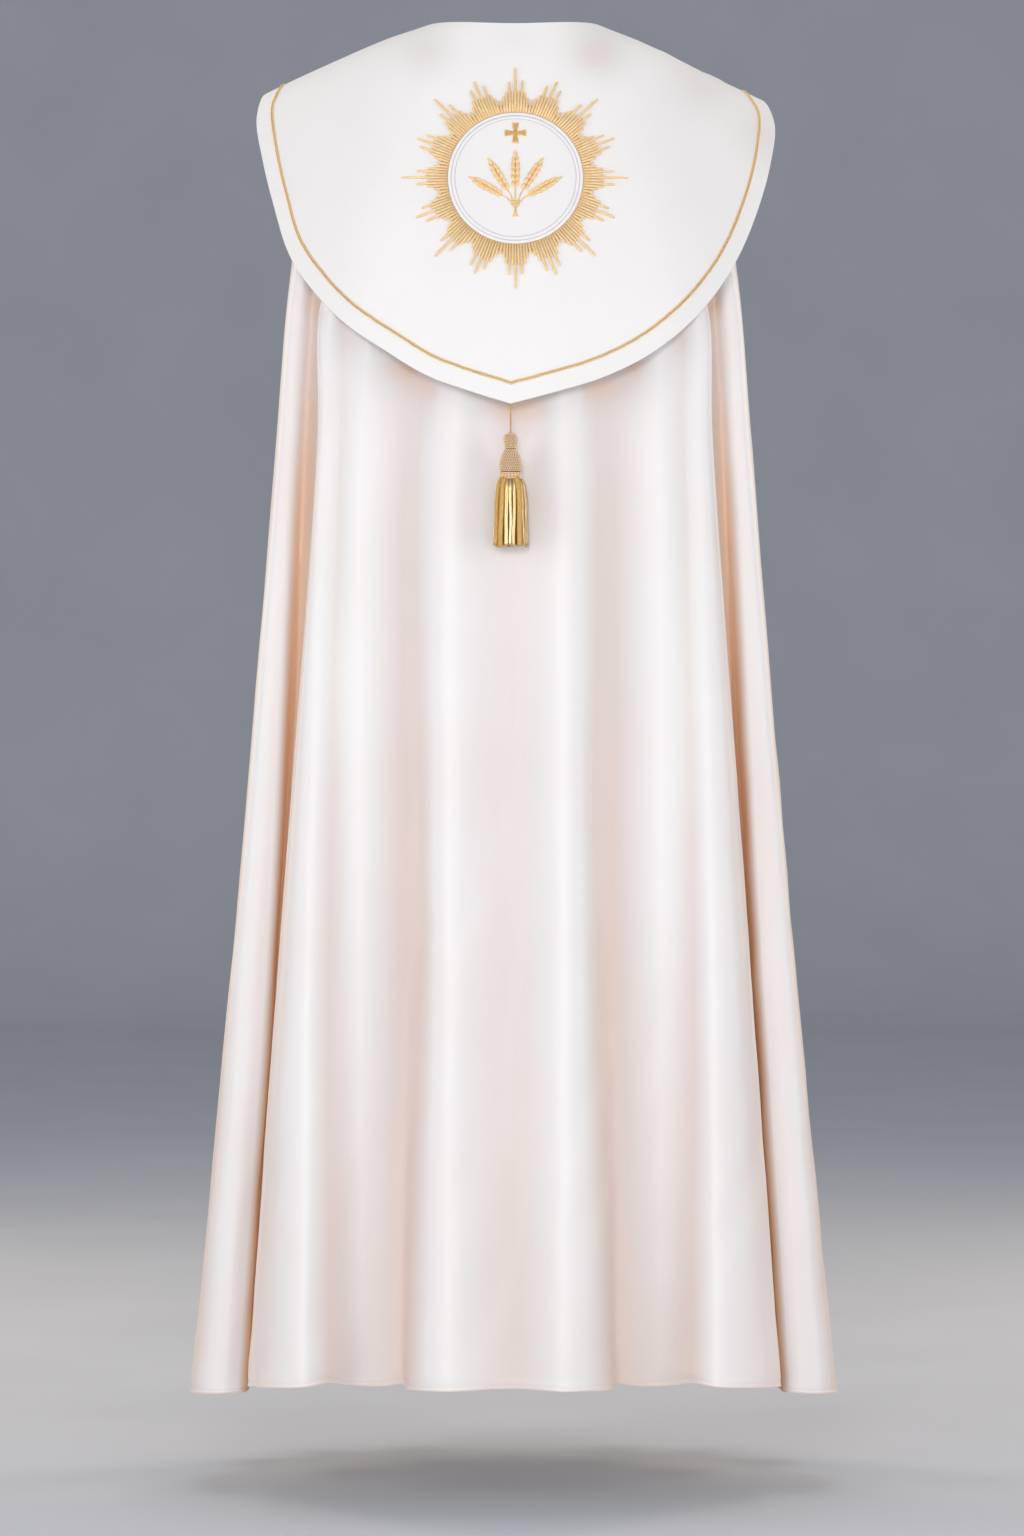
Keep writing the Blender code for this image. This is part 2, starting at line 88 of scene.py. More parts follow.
def strand(line, radii, sides=8, flat=1.0, up=None, closed=False):
    """Points, faces and corners' (u, v) of a strand along a line.

    flat makes it thinner along up, and closed joins its ends.
    """
    line = np.asarray(line, float)
    radii = np.broadcast_to(np.asarray(radii, float), (len(line),))
    along = np.roll(line, -1, 0) - np.roll(line, 1, 0) if closed else np.gradient(line, axis=0)
    along /= np.linalg.norm(along, axis=1)[:, None]
    if up is None:
        way = np.array((0.0, 1.0, 0.0)) if abs(along[0][1]) < 0.9 else np.array((1.0, 0.0, 0.0))
        ups = np.zeros_like(line)
        for k, ahead in enumerate(along):
            way = way - ahead * np.dot(way, ahead)
            way = way / np.linalg.norm(way)
            ups[k] = way
    else:
        ups = np.broadcast_to(np.asarray(up, float), line.shape)
        ups = ups - along * (ups * along).sum(1)[:, None]
        ups = ups / np.linalg.norm(ups, axis=1)[:, None]
    side = np.cross(along, ups)
    turn = np.arange(sides) * math.tau / sides
    ring = np.cos(turn)[None, :, None] * side[:, None] + np.sin(turn)[None, :, None] * flat * ups[:, None]
    points = (line[:, None] + ring * radii[:, None, None]).reshape(-1, 3)
    u = run_lengths(np.concatenate([line, line[:1]]) if closed else line)
    faces, uvs = [], []
    for r in range(len(u) - 1):
        low, high = r * sides, (r + 1) % len(line) * sides
        for c in range(sides):
            n, v = (c + 1) % sides, math.tau * c / sides
            faces.append((low + c, low + n, high + n, high + c))
            uvs += [(u[r], v), (u[r], v + turn[1]), (u[r + 1], v + turn[1]), (u[r + 1], v)]
    if not closed:
        faces.append(tuple(range(sides - 1, -1, -1)))
        faces.append(tuple(range((len(line) - 1) * sides, len(line) * sides)))
        uvs += [(u[0], v) for v in turn[::-1]] + [(u[-1], v) for v in turn]
    return points, faces, np.array(uvs)


def together(parts):
    """Several (points, faces, uvs) as one."""
    faces, count = [], 0
    for part in parts:
        faces += [tuple(i + count for i in face) for face in part[1]]
        count += len(part[0])
    return np.concatenate([p[0] for p in parts]), faces, np.concatenate([p[2] for p in parts])


def laid_up(line, radius, strands, pitch, sides=8, spread=1.0, step=0.0007):
    """The strands of a cord, each turning once about the line for every pitch of its length."""
    line = np.asarray(line, float)
    lengths = run_lengths(line)
    fine = np.linspace(0, lengths[-1], max(8, int(lengths[-1] / step)))
    centre = np.stack([np.interp(fine, lengths, line[:, k]) for k in range(3)], 1)
    along = np.gradient(centre, axis=0)
    along /= np.linalg.norm(along, axis=1)[:, None]
    side = np.cross(along, (0.0, 1.0, 0.0))
    side /= np.linalg.norm(side, axis=1)[:, None]
    other = np.cross(along, side)
    parts = []
    for k in range(strands):
        turn = fine / pitch * math.tau + k * math.tau / strands
        swing = np.cos(turn)[:, None] * side + np.sin(turn)[:, None] * other
        parts.append(strand(centre + swing * radius * spread, radius, sides))
    return parts


def new_material(name):
    """A material with its node tree and its main shader."""
    made = bpy.data.materials.new(name)
    made.use_nodes = True
    return made, made.node_tree, made.node_tree.nodes["Principled BSDF"]


def add_node(tree, kind, **inputs):
    """A node with some inputs linked, where a socket is given, or set."""
    node = tree.nodes.new(kind)
    for key, value in inputs.items():
        socket = node.inputs[key.replace("_", " ")]
        if isinstance(value, bpy.types.NodeSocket):
            tree.links.new(value, socket)
        else:
            socket.default_value = value
    return node


def scaled_place(tree, output, scale):
    """The UV map or the place on the object, scaled along its axes."""
    source = tree.nodes.new("ShaderNodeTexCoord")
    mapping = add_node(tree, "ShaderNodeMapping", Vector=source.outputs[output], Scale=scale)
    return mapping.outputs["Vector"]


def colour_ramp(tree, factor, *stops):
    """A colour that follows factor through (position, colour) stops."""
    ramp = add_node(tree, "ShaderNodeValToRGB", Fac=factor)
    for element, (position, colour) in zip(ramp.color_ramp.elements, (stops[0], stops[-1])):
        element.position, element.color = position, (*colour, 1)
    for position, colour in stops[1:-1]:
        ramp.color_ramp.elements.new(position).color = (*colour, 1)
    return ramp.outputs["Color"]


def noise(tree, output, stretch, scale=1.0, detail=2.0):
    """Noise on the UV map or on the object, stretched along its axes."""
    place = scaled_place(tree, output, stretch)
    return add_node(tree, "ShaderNodeTexNoise", Vector=place, Scale=scale, Detail=detail).outputs["Fac"]


def colour_and_bump(tree, shader, colour, height, strength, distance, **under):
    """Gives a shader its colour and a bump that follows height, over another bump if its Normal is given."""
    bump = add_node(tree, "ShaderNodeBump", Height=height, Strength=strength, Distance=distance, **under)
    tree.links.new(colour, shader.inputs["Base Color"])
    tree.links.new(bump.outputs["Normal"], shader.inputs["Normal"])


def thread(name, light, dark, pitch, roughness=0.38, metallic=0.4, relief=0.0003, mottle=420.0):
    """Thread wound or twisted so that fine turns cross it at a slant, a pitch apart, with shade painted in
    the lows.
    """
    made, tree, shader = new_material(name)
    place = scaled_place(tree, "UV", (1 / pitch, 1 / math.tau, 1))
    turns = add_node(tree, "ShaderNodeTexWave", Vector=place, Scale=0.6283, Distortion=0.5)
    turns.bands_direction = "DIAGONAL"
    both = add_node(tree, "ShaderNodeMath")
    tree.links.new(turns.outputs["Fac"], both.inputs[0])
    tree.links.new(noise(tree, "Object", (1, 1, 1), mottle), both.inputs[1])
    colour = colour_ramp(tree, both.outputs["Value"], (0.35, dark), (0.95, light))
    colour_and_bump(tree, shader, colour, turns.outputs["Fac"], 0.6, relief)
    shader.inputs["Metallic"].default_value = metallic
    shader.inputs["Roughness"].default_value = roughness
    return made


cord_gold = thread("cord_gold", CORD_GOLD, CORD_GOLD_DARK, 0.0009)
cord_line = [(CORD_X, CORD_Y, z) for z in np.linspace(CORD_TOP_Z, CORD_END_Z, 20)]
tassel_cord = add_mesh(
    "tassel_cord_twist", *together(laid_up(cord_line, CORD_STRAND_RADIUS, 2, CORD_PITCH, spread=0.85))
)
put_on(tassel_cord, cord_gold, "gold_thread", "tassel_cord")


# Mantle: the body of the cope, in three lengths of heavy ivory satin. The back is joined to a left and a
# right front by seams at the bottom of the side pleats. A narrow hem is turned in and stitched all round.
MANTLE_WALL = 0.0016
MANTLE_STEP = 0.0058
# Oval sections: half width, depth at back and front, height at back, side and front, and roundness.
MANTLE_SECTIONS = (
    ("neck", 0.0905, 0.068, 0.112, 0.0545, 0.0610, -0.097, 2.0),
    ("collar", 0.116, 0.081, 0.126, 0.026, 0.0465, -0.120, 2.0),
    ("slope", 0.158, 0.106, 0.142, -0.030, 0.027, -0.156, 2.0),
    ("yoke", 0.194, 0.133, 0.156, -0.092, 0.005, -0.197, 2.0),
    ("cap", 0.219, 0.152, 0.165, -0.150, -0.030, -0.238, 2.05),
    ("arm", 0.237, 0.171, 0.170, -0.220, -0.108, -0.285, 2.2),
    ("chest", 0.2455, 0.189, 0.174, -0.300, -0.215, -0.340, 2.4),
)
# The lines of the folds lie further in at the chest than at the bust: x is CHEST_IN times as much, less
# CHEST_IN_MORE for each metre past CHEST_IN_PAST, and y is CHEST_BACK or CHEST_FRONT times as much.
CHEST_IN, CHEST_IN_PAST, CHEST_IN_MORE = 0.972, 0.205, 0.6
CHEST_BACK, CHEST_FRONT = 0.885, 0.98
# Each line of the folds, from the middle of the back round to the front edge: its (x, y) at bust, knee and
# hem on the right half, and how far its hem dips. Then how much further out the left half hangs at bust,
# knee and hem, and further to the front at the hem, and how much shade, darker and warmer, is painted on
# the cloth at bust, knee and hem, where light only comes off other folds.
FOLDS = (
    ("centre_hollow", (-0.002, -0.2050), (0.000, -0.2295), (0.000, -0.2560), -0.0022,
     (0.000, 0.000, 0.000, 0.000), (0.19, 0.30, 0.36)),
    ("centre_crest", (0.051, -0.2110), (0.053, -0.2410), (0.050, -0.2680), 0.0000,
     (0.012, 0.015, 0.018, 0.001), (0.00, 0.00, 0.00)),
    ("centre_turn", (0.070, -0.2085), (0.070, -0.2365), (0.075, -0.2630), 0.0000,
     (0.012, 0.013, 0.014, 0.001), (0.06, 0.09, 0.09)),
    ("centre_edge", (0.088, -0.2000), (0.087, -0.2240), (0.101, -0.2450), 0.0005,
     (0.013, 0.011, 0.010, 0.002), (0.30, 0.42, 0.45)),
    ("recess_start", (0.107, -0.1935), (0.105, -0.2130), (0.110, -0.2170), -0.0024,
     (0.010, 0.009, 0.008, 0.000), (0.29, 0.43, 0.46)),
    ("recess_bend", (0.130, -0.1905), (0.130, -0.2062), (0.128, -0.2090), 0.0013,
     (0.010, 0.009, 0.008, 0.000), (0.16, 0.22, 0.34)),
    ("recess", (0.1546, -0.1900), (0.156, -0.2030), (0.1545, -0.2060), 0.0020,
     (0.008, 0.007, 0.006, 0.002), (0.00, 0.03, 0.26)),
    ("recess_rise", (0.170, -0.1872), (0.176, -0.2045), (0.174, -0.2085), 0.0000,
     (0.006, 0.006, 0.006, 0.000), (0.10, 0.20, 0.34)),
    ("recess_end", (0.181, -0.1835), (0.190, -0.2082), (0.1886, -0.2150), -0.0030,
     (0.003, 0.005, 0.006, -0.002), (0.20, 0.31, 0.42)),
    ("side_crest", (0.197, -0.1822), (0.210, -0.2125), (0.212, -0.2290), 0.0000,
     (0.006, 0.008, 0.010, -0.003), (0.00, 0.00, 0.00)),
    ("side_round", (0.2055, -0.1790), (0.2330, -0.2035), (0.253, -0.2165), 0.0024,
     (0.0015, 0.0040, 0.0040, 0.000), (0.10, 0.19, 0.20)),
    ("side_lip", (0.2105, -0.1750), (0.2450, -0.1885), (0.2810, -0.1984), 0.0033,
     (-0.0029, -0.0009, -0.0003, 0.001), (0.22, 0.36, 0.36)),
    ("side_edge", (0.2119, -0.1745), (0.2467, -0.1876), (0.2827, -0.1977), 0.0033,
     (-0.0029, -0.0009, -0.0003, 0.001), (0.26, 0.42, 0.42)),
    ("side_turn", (0.2121, -0.1712), (0.2469, -0.1840), (0.2830, -0.1940), 0.0035,
     (-0.0029, -0.0009, -0.0003, 0.001), (0.30, 0.58, 0.56)),
    ("pleat_wall", (0.2110, -0.1500), (0.2425, -0.1540), (0.2785, -0.1560), 0.0060,
     (-0.0025, -0.0005, 0.0010, 0.003), (0.48, 0.44, 0.38)),
    ("pleat", (0.2152, -0.1240), (0.2445, -0.1020), (0.2790, -0.0900), 0.0090,
     (-0.0012, 0.0005, 0.0010, 0.004), (0.66, 0.58, 0.48)),
    ("fall_start", (0.2250, -0.1000), (0.2525, -0.0830), (0.2850, -0.0720), 0.0185,
     (0.0000, 0.0010, 0.0015, 0.000), (0.75, 0.94, 1.00)),
    ("fall_rise", (0.2294, -0.1005), (0.2560, -0.0950), (0.2882, -0.0920), 0.0205,
     (0.0008, -0.0004, 0.0000, 0.000), (0.58, 0.93, 1.00)),
    ("fall_bend", (0.2345, -0.1025), (0.2590, -0.1022), (0.2908, -0.1030), 0.0215,
     (0.0007, -0.0015, 0.0000, 0.000), (0.22, 0.60, 0.92)),
    ("fall_face", (0.2408, -0.1035), (0.2662, -0.1045), (0.2985, -0.1068), 0.0218,
     (0.0017, -0.0017, 0.0000, 0.000), (0.00, 0.02, 0.18)),
    ("fall_crest", (0.2480, -0.1030), (0.2800, -0.1045), (0.3120, -0.1072), 0.0227,
     (0.0020, 0.0022, 0.0030, -0.004), (0.00, 0.00, 0.00)),
    ("fall_side", (0.2537, -0.0970), (0.2920, -0.1002), (0.3318, -0.1020), 0.0238,
     (0.0005, 0.0012, 0.0012, 0.000), (0.02, 0.05, 0.06)),
    ("fall_turn", (0.2583, -0.0820), (0.2992, -0.0860), (0.3472, -0.0800), 0.0256,
     (-0.0003, 0.0011, 0.0003, 0.000), (0.22, 0.36, 0.36)),
    ("fall_back", (0.2598, -0.0500), (0.3012, -0.0500), (0.3528, -0.0500), 0.0287,
     (-0.0003, 0.0011, 0.0002, 0.004), (0.25, 0.40, 0.40)),
    ("arm_side", (0.2588, 0.0000), (0.3000, 0.0060), (0.3470, 0.0100), 0.0255,
     (-0.0020, 0.0000, 0.0005, 0.003), (0.05, 0.05, 0.05)),
    ("arm_groove", (0.244, 0.0450), (0.276, 0.054), (0.305, 0.060), 0.0185,
     (0.000, 0.003, 0.006, -0.006), (0.25, 0.40, 0.45)),
    ("arm_crest", (0.232, 0.0850), (0.271, 0.112), (0.314, 0.137), 0.0185,
     (0.000, -0.003, -0.006, 0.008), (0.00, 0.00, 0.00)),
    ("front_groove_1", (0.200, 0.1120), (0.224, 0.134), (0.247, 0.150), 0.0125,
     (0.000, -0.002, -0.004, 0.006), (0.20, 0.35, 0.45)),
    ("front_crest_1", (0.176, 0.1450), (0.199, 0.190), (0.224, 0.230), 0.0105,
     (0.000, 0.003, 0.007, -0.007), (0.00, 0.00, 0.00)),
    ("front_groove_2", (0.135, 0.1550), (0.146, 0.179), (0.158, 0.195), 0.0075,
     (0.000, 0.002, 0.004, 0.005), (0.15, 0.30, 0.38)),
    ("front_crest_2", (0.100, 0.1740), (0.109, 0.215), (0.118, 0.252), 0.0055,
     (0.000, -0.003, -0.006, -0.004), (0.00, 0.00, 0.00)),
    ("front_groove_3", (0.064, 0.1690), (0.071, 0.194), (0.079, 0.214), 0.0045,
     (0.000, 0.001, 0.003, 0.004), (0.12, 0.25, 0.32)),
    ("front_edge", (0.032, 0.1770), (0.039, 0.207), (0.047, 0.236), 0.0045,
     (0.000, 0.001, 0.002, -0.003), (0.00, 0.00, 0.05)),
)
# Below the neck the shade painted in the folds fades in: none at the first height, full at the second.
SHADE_PAINT_STARTS_Z, SHADE_PAINT_FULL_Z = -0.10, -0.44
LEVELS = ((-0.41, 0.0), (-0.90, 0.5), (-1.4065, 1.0))
MANTLE_ROWS = (3, 4, 5, 5, 5, 6, 7, 11, 36)
KNEE_TO_HEM = 0.511
# The hem: how far in from the edge its rows and columns of points lie, and the line of its stitches.
HEM_POINTS = (0.0, 0.0009, 0.0018, 0.0027, 0.0036, 0.0045, 0.0058, 0.0085, 0.0135, 0.0200)
HEM_STITCH_LINE = 0.0036
HEM_BULGE, HEM_PRESS, HEM_PRESS_WIDTH = 0.0002, 0.0005, 0.0009
HEM_PUCKER, PUCKER_LENGTH, PUCKER_INSET, PUCKER_WIDTH = 0.0005, 0.008, 0.006, 0.008
# A thin line of painted warm shade along the very edge, standing in for the warm rim light there: amount and
# width.
HEM_EDGE_SHADE, HEM_EDGE_SHADE_WIDTH = 0.42, 0.0013
HEM_STITCH_TOP_Z = -0.12
STITCH_LENGTH, STITCH_GAP, STITCH_RADIUS = 0.0024, 0.0012, 0.00024
# A stitch, as shares: how far along it is, and how high and how thick it is there for its radius.
STITCH_SHAPE = ((0.0, -0.4, 0.6), (0.2, 0.6, 1.0), (0.5, 0.9, 1.0), (0.8, 0.6, 1.0), (1.0, -0.4, 0.6))
# The uneven lie of the cloth: how far it stands out, how wide and long its rises are, and how they slant. It
# comes in over the first RIPPLES_FULL of the drop, and the lip of the side pleat is calm.
RIPPLE, RIPPLE_WIDE, RIPPLE_LONG = 0.0011, 0.030, 0.32
FINE_RIPPLE, FINE_WIDE, FINE_LONG, FINE_SLANT = 0.0005, 0.014, 0.11, 0.3
CREASE, CREASE_WIDE, CREASE_LONG, CREASE_SLANT = 0.0009, 0.05, 0.05, 0.09
CREASES_REACH, CREASES_STOP = 0.10, 0.008
RIPPLES_FULL, LIP_CALM = 1.2, 0.85
SATIN_IVORY = (0.86, 0.835, 0.828)
SATIN_IVORY_DEEP = (0.84, 0.80, 0.785)
# What the painted shade on the cloth multiplies its colour by, as (amount of painted shade, colour).
SATIN_SHADE_TONES = (
    (0.00, (1.000, 1.000, 1.000)),
    (0.12, (0.930, 0.920, 0.918)),
    (0.35, (0.845, 0.757, 0.716)),
    (0.70, (0.845, 0.605, 0.450)),
    (1.00, (0.960, 0.590, 0.320)),
)


def smooth_through(keys, places):
    """Points of smooth curves through keys, an array of (key, line, 3), at places counted in keys."""
    keys = np.concatenate([2 * keys[:1] - keys[1:2], keys, 2 * keys[-1:] - keys[-2:-1]])
    gaps = np.sqrt(np.linalg.norm(np.diff(keys, axis=0), axis=2))
    knots = np.concatenate([np.zeros_like(gaps[:1]), np.cumsum(gaps, axis=0)])[..., None]
    found = []
    for place in places:
        i = min(int(place), len(keys) - 4)
        p, k = keys[i : i + 4], knots[i : i + 4]
        at = k[1] + (k[2] - k[1]) * (place - i)
        a = [p[j] + (p[j + 1] - p[j]) * (at - k[j]) / (k[j + 1] - k[j]) for j in range(3)]
        b = [a[j] + (a[j + 1] - a[j]) * (at - k[j]) / (k[j + 2] - k[j]) for j in range(2)]
        found.append(b[0] + (b[1] - b[0]) * (at - k[1]) / (k[2] - k[1]))
    return np.array(found)


def even_places(counts):
    """Places with counts[k] even steps between key k and the next."""
    return np.concatenate([k + np.arange(n) / n for k, n in enumerate(counts)] + [[len(counts)]])


def section_points(section, turns):
    """Points of an oval section in directions from the middle of the back, in radians."""
    _, half_width, back, front, z_back, z_side, z_front, n = section
    across, along = np.abs(np.sin(turns)), np.abs(np.cos(turns))
    at_back = np.cos(turns) > 0
    reach = ((across / half_width) ** n + (along / np.where(at_back, back, front)) ** n) ** (-1 / n)
    z = z_side + (np.where(at_back, z_back, z_front) - z_side) * along**2
    return np.stack([reach * np.sin(turns), -reach * np.cos(turns), z], 1)


def lengths_along(grid, axis):
    """How far each point of a grid is along its column (axis 0) or row (axis 1)."""
    steps = np.linalg.norm(np.diff(grid, axis=axis), axis=2)
    start = np.zeros_like(np.take(steps, [0], axis))
    return np.concatenate([start, np.cumsum(steps, axis=axis)], axis=axis)


def outward(grid):
    """Outward directions of a grid whose rows go down and columns to the right, seen from outside."""
    normals = np.cross(np.gradient(grid, axis=0), np.gradient(grid, axis=1))
    return normals / np.linalg.norm(normals, axis=2)[..., None]


def unevenness(across, down, seed):
    """Smooth unevenness from -1 to 1, with about one rise or hollow for each unit across and down."""
    lattice = np.random.default_rng(seed).uniform(-1, 1, (128, 128))
    i, j = np.floor(across).astype(int), np.floor(down).astype(int)
    s, t = across - i, down - j
    s, t = s * s * (3 - 2 * s), t * t * (3 - 2 * t)
    i, j = i % 127, j % 127
    top = lattice[i, j] * (1 - s) + lattice[i + 1, j] * s
    low = lattice[i, j + 1] * (1 - s) + lattice[i + 1, j + 1] * s
    return top * (1 - t) + low * t


turns = np.array([math.atan2(fold[1][0], -fold[1][1]) for fold in FOLDS])
right = [section_points(section, turns) for section in MANTLE_SECTIONS]
bust = np.array([f[1] for f in FOLDS])
right[-1][:, 0] = bust[:, 0] * (CHEST_IN - CHEST_IN_MORE * np.clip(bust[:, 0] - CHEST_IN_PAST, 0, None))
right[-1][:, 1] = bust[:, 1] * np.where(bust[:, 1] < 0, CHEST_BACK, CHEST_FRONT)
left = [points * (-1, 1, 1) for points in right]
for level, (z, share) in enumerate(LEVELS, 1):
    right.append(np.array([(*f[level], z - f[4] * share) for f in FOLDS]))
    shifts = np.array([(-f[5][level - 1], f[5][3] * share, 0) for f in FOLDS])
    left.append(right[-1] * (-1, 1, 1) + shifts)
keys = np.array([np.concatenate([a[:0:-1], b]) for a, b in zip(left, right)])
hem_gaps = np.linalg.norm(np.diff(keys[-1], axis=0), axis=1)
column_places = even_places([max(2, round(gap / MANTLE_STEP)) for gap in hem_gaps])
first_places = np.array(HEM_POINTS) / hem_gaps[0]
last_places = len(keys[0]) - 1 - first_places[::-1]
between = (column_places > first_places[-1]) & (column_places < last_places[0])
column_places = np.concatenate([first_places, column_places[between], last_places])
row_places = even_places(MANTLE_ROWS)
hem_places = len(keys) - 1 - np.array(HEM_POINTS[::-1]) / KNEE_TO_HEM
row_places = np.concatenate([row_places[row_places < hem_places[0] - 0.01], hem_places])
mantle = smooth_through(keys, row_places).transpose(1, 0, 2)
mantle = smooth_through(mantle, column_places).transpose(1, 0, 2)

# The shade painted on each fold line, darker and warmer, from the table at bust, knee and hem.
shade_lines = []
for shade_keys in np.array([f[6] for f in FOLDS]).T:
    shade_keys = np.concatenate([shade_keys[:0:-1], shade_keys])
    shade_lines.append(np.interp(column_places, np.arange(len(shade_keys)), shade_keys))
shade_lines = np.array(shade_lines)
shade_row = np.clip(row_places - (len(keys) - len(LEVELS)), 0, len(LEVELS) - 1)
above = np.minimum(shade_row.astype(int), len(LEVELS) - 2)
below_share = (shade_row - above)[:, None]
painted_shade = shade_lines[above] * (1 - below_share) + shade_lines[above + 1] * below_share
painted_shade *= np.clip((SHADE_PAINT_STARTS_Z - mantle[..., 2]) / (SHADE_PAINT_STARTS_Z - SHADE_PAINT_FULL_Z), 0, 1)

along_row, down = lengths_along(mantle, 1), lengths_along(mantle, 0)
from_hem = down[-1:] - down
from_front = np.minimum(along_row, along_row[:, -1:] - along_row)
from_edge = np.minimum(from_hem, from_front)
# The very edge of the cloth gets a thin line of painted warm shade, standing in for the warm rim light
# there.
painted_shade = np.where(from_edge < HEM_EDGE_SHADE_WIDTH, np.maximum(painted_shade, HEM_EDGE_SHADE), painted_shade)
beside_edge = np.where(from_hem < from_front, along_row, down)
proud = HEM_BULGE * (from_edge < HEM_STITCH_LINE)
proud = proud - HEM_PRESS * np.exp(-(((from_edge - HEM_STITCH_LINE) / HEM_PRESS_WIDTH) ** 2))
puckers = unevenness(beside_edge / PUCKER_LENGTH, 0 * down, 5)
puckers = puckers * np.exp(-(((from_edge - PUCKER_INSET) / PUCKER_WIDTH) ** 2))
proud = proud + HEM_PUCKER * puckers
middle = len(FOLDS) - 1
lip, seam = ([fold[0] for fold in FOLDS].index(name) for name in ("side_edge", "pleat"))
calm = 1 - LIP_CALM * np.exp(-((abs(column_places - middle) - lip) ** 2))
low_down = np.clip(down / RIPPLES_FULL, 0, 1) * calm
proud = proud + RIPPLE * low_down * unevenness(along_row / RIPPLE_WIDE, down / RIPPLE_LONG, 11)
slanting = along_row / FINE_WIDE + down / FINE_SLANT
proud = proud + FINE_RIPPLE * low_down * unevenness(slanting, down / FINE_LONG, 12)
slanting = along_row / CREASE_WIDE - down / CREASE_SLANT
creases = unevenness(slanting, down / CREASE_LONG, 13) * np.exp(-(from_hem / CREASES_REACH) ** 2)
proud = proud + CREASE * creases * (from_hem > CREASES_STOP)
mantle = mantle + outward(mantle) * proud[..., None]
left_seam, right_seam = (int(np.argmin(abs(column_places - (middle + side * seam)))) for side in (-1, 1))


def satin(name, light, deep, roughness, gloss):
    """Heavy satin: its long floating threads give a soft gloss, and the finer ones across a slight slub."""
    made, tree, shader = new_material(name)
    plain = colour_ramp(tree, noise(tree, "Object", (1, 1, 1), 5.0, 3.0), (0.3, deep), (0.6, light))
    # The cloth's colour is darkened and warmed by the shade painted on each piece as an attribute.
    shade_node = tree.nodes.new("ShaderNodeAttribute")
    shade_node.attribute_name = "painted_shade"
    shaded_colour = tree.nodes.new("ShaderNodeMix")
    shaded_colour.data_type, shaded_colour.blend_type = "RGBA", "MULTIPLY"
    shaded_colour.inputs[0].default_value = 1.0
    tree.links.new(plain, shaded_colour.inputs[6])
    tree.links.new(colour_ramp(tree, shade_node.outputs["Fac"], *SATIN_SHADE_TONES), shaded_colour.inputs[7])
    slub, crepe = noise(tree, "UV", (90, 800, 1)), noise(tree, "UV", (80, 14, 1), detail=3.0)
    fine = add_node(tree, "ShaderNodeBump", Height=slub, Strength=0.12, Distance=0.0005)
    colour_and_bump(tree, shader, shaded_colour.outputs[2], crepe, 0.10, 0.003, Normal=fine.outputs["Normal"])
    shader.inputs["Roughness"].default_value = roughness
    shader.inputs["Specular IOR Level"].default_value = gloss
    shader.inputs["Sheen Weight"].default_value = 0.15
    shader.inputs["Sheen Roughness"].default_value = 0.4
    return made


def grid_faces(grid):
    """Faces of a grid, which point outwards where its rows go down and its columns to the right."""
    points = np.arange(grid.shape[0] * grid.shape[1]).reshape(grid.shape[:2])
    corners = [points[:-1, :-1], points[1:, :-1], points[1:, 1:], points[:-1, 1:]]
    return np.stack(corners, 2).reshape(-1, 4)


def cloth_sheet(name, grid, wall, shade_paint=None, rim=0.0005):
    """A sheet of cloth on a grid of points: its wall lies inside, and its UV map measures it in metres."""
    faces = grid_faces(grid)
    uvs = np.stack([lengths_along(grid, 1), lengths_along(grid, 0)], 2).reshape(-1, 2)
    obj = add_mesh(name, grid.reshape(-1, 3), faces.tolist(), uvs[faces.ravel()])
    # The painted shade, where given, goes on each point of the sheet.
    if shade_paint is not None:
        shade_values = obj.data.attributes.new("painted_shade", "FLOAT", "POINT")
        shade_values.data.foreach_set("value", shade_paint.ravel().astype(np.float32))
    return walled(obj, wall, rim)


def walled(obj, wall, rim):
    """Gives a sheet its wall, on the inner side, with softly rounded edges."""
    solidify = obj.modifiers.new("wall", "SOLIDIFY")
    solidify.thickness = wall
    solidify.offset = -1
    bevel = obj.modifiers.new("rim", "BEVEL")
    bevel.width = rim
    bevel.segments = 2
    bevel.limit_method = "ANGLE"
    bevel.angle_limit = math.radians(65)
    bevel.harden_normals = True
    return obj


satin_ivory = satin("satin_ivory", SATIN_IVORY, SATIN_IVORY_DEEP, roughness=0.46, gloss=0.5)
# Each panel: its first and last column, the width and length of the cloth it is cut from, and the share of
# that cloth that it keeps.
PANELS = (
    ("mantle_back", left_seam, right_seam, (1.02, 1.53), 0.66),
    ("mantle_left", 0, left_seam, (0.80, 1.58), 0.64),
    ("mantle_right", right_seam, mantle.shape[1] - 1, (0.80, 1.58), 0.64),
)
for node, first, last, flat, kept in PANELS:
    columns = slice(first, last + 1)
    panel = cloth_sheet(node + "_satin", mantle[:, columns], MANTLE_WALL, painted_shade[:, columns])
    put_on(panel, satin_ivory, "satin", node)

# Hem stitches: short machine stitches of ivory thread that hold the turned hem.
stitch_row = int(np.argmin(abs(from_edge[:, mantle.shape[1] // 2] - HEM_STITCH_LINE)))
stitch_column = HEM_POINTS.index(HEM_STITCH_LINE)
first_row = int(np.argmax(mantle[:, 0, 2] < HEM_STITCH_TOP_Z))


def along_hem(grid):
    """What a grid of the mantle holds along the line of the stitches, from one front edge to the other."""
    beside = grid[first_row:stitch_row]
    low = grid[stitch_row, stitch_column:-stitch_column]
    return np.concatenate([beside[:, stitch_column], low, beside[::-1, -stitch_column - 1]])


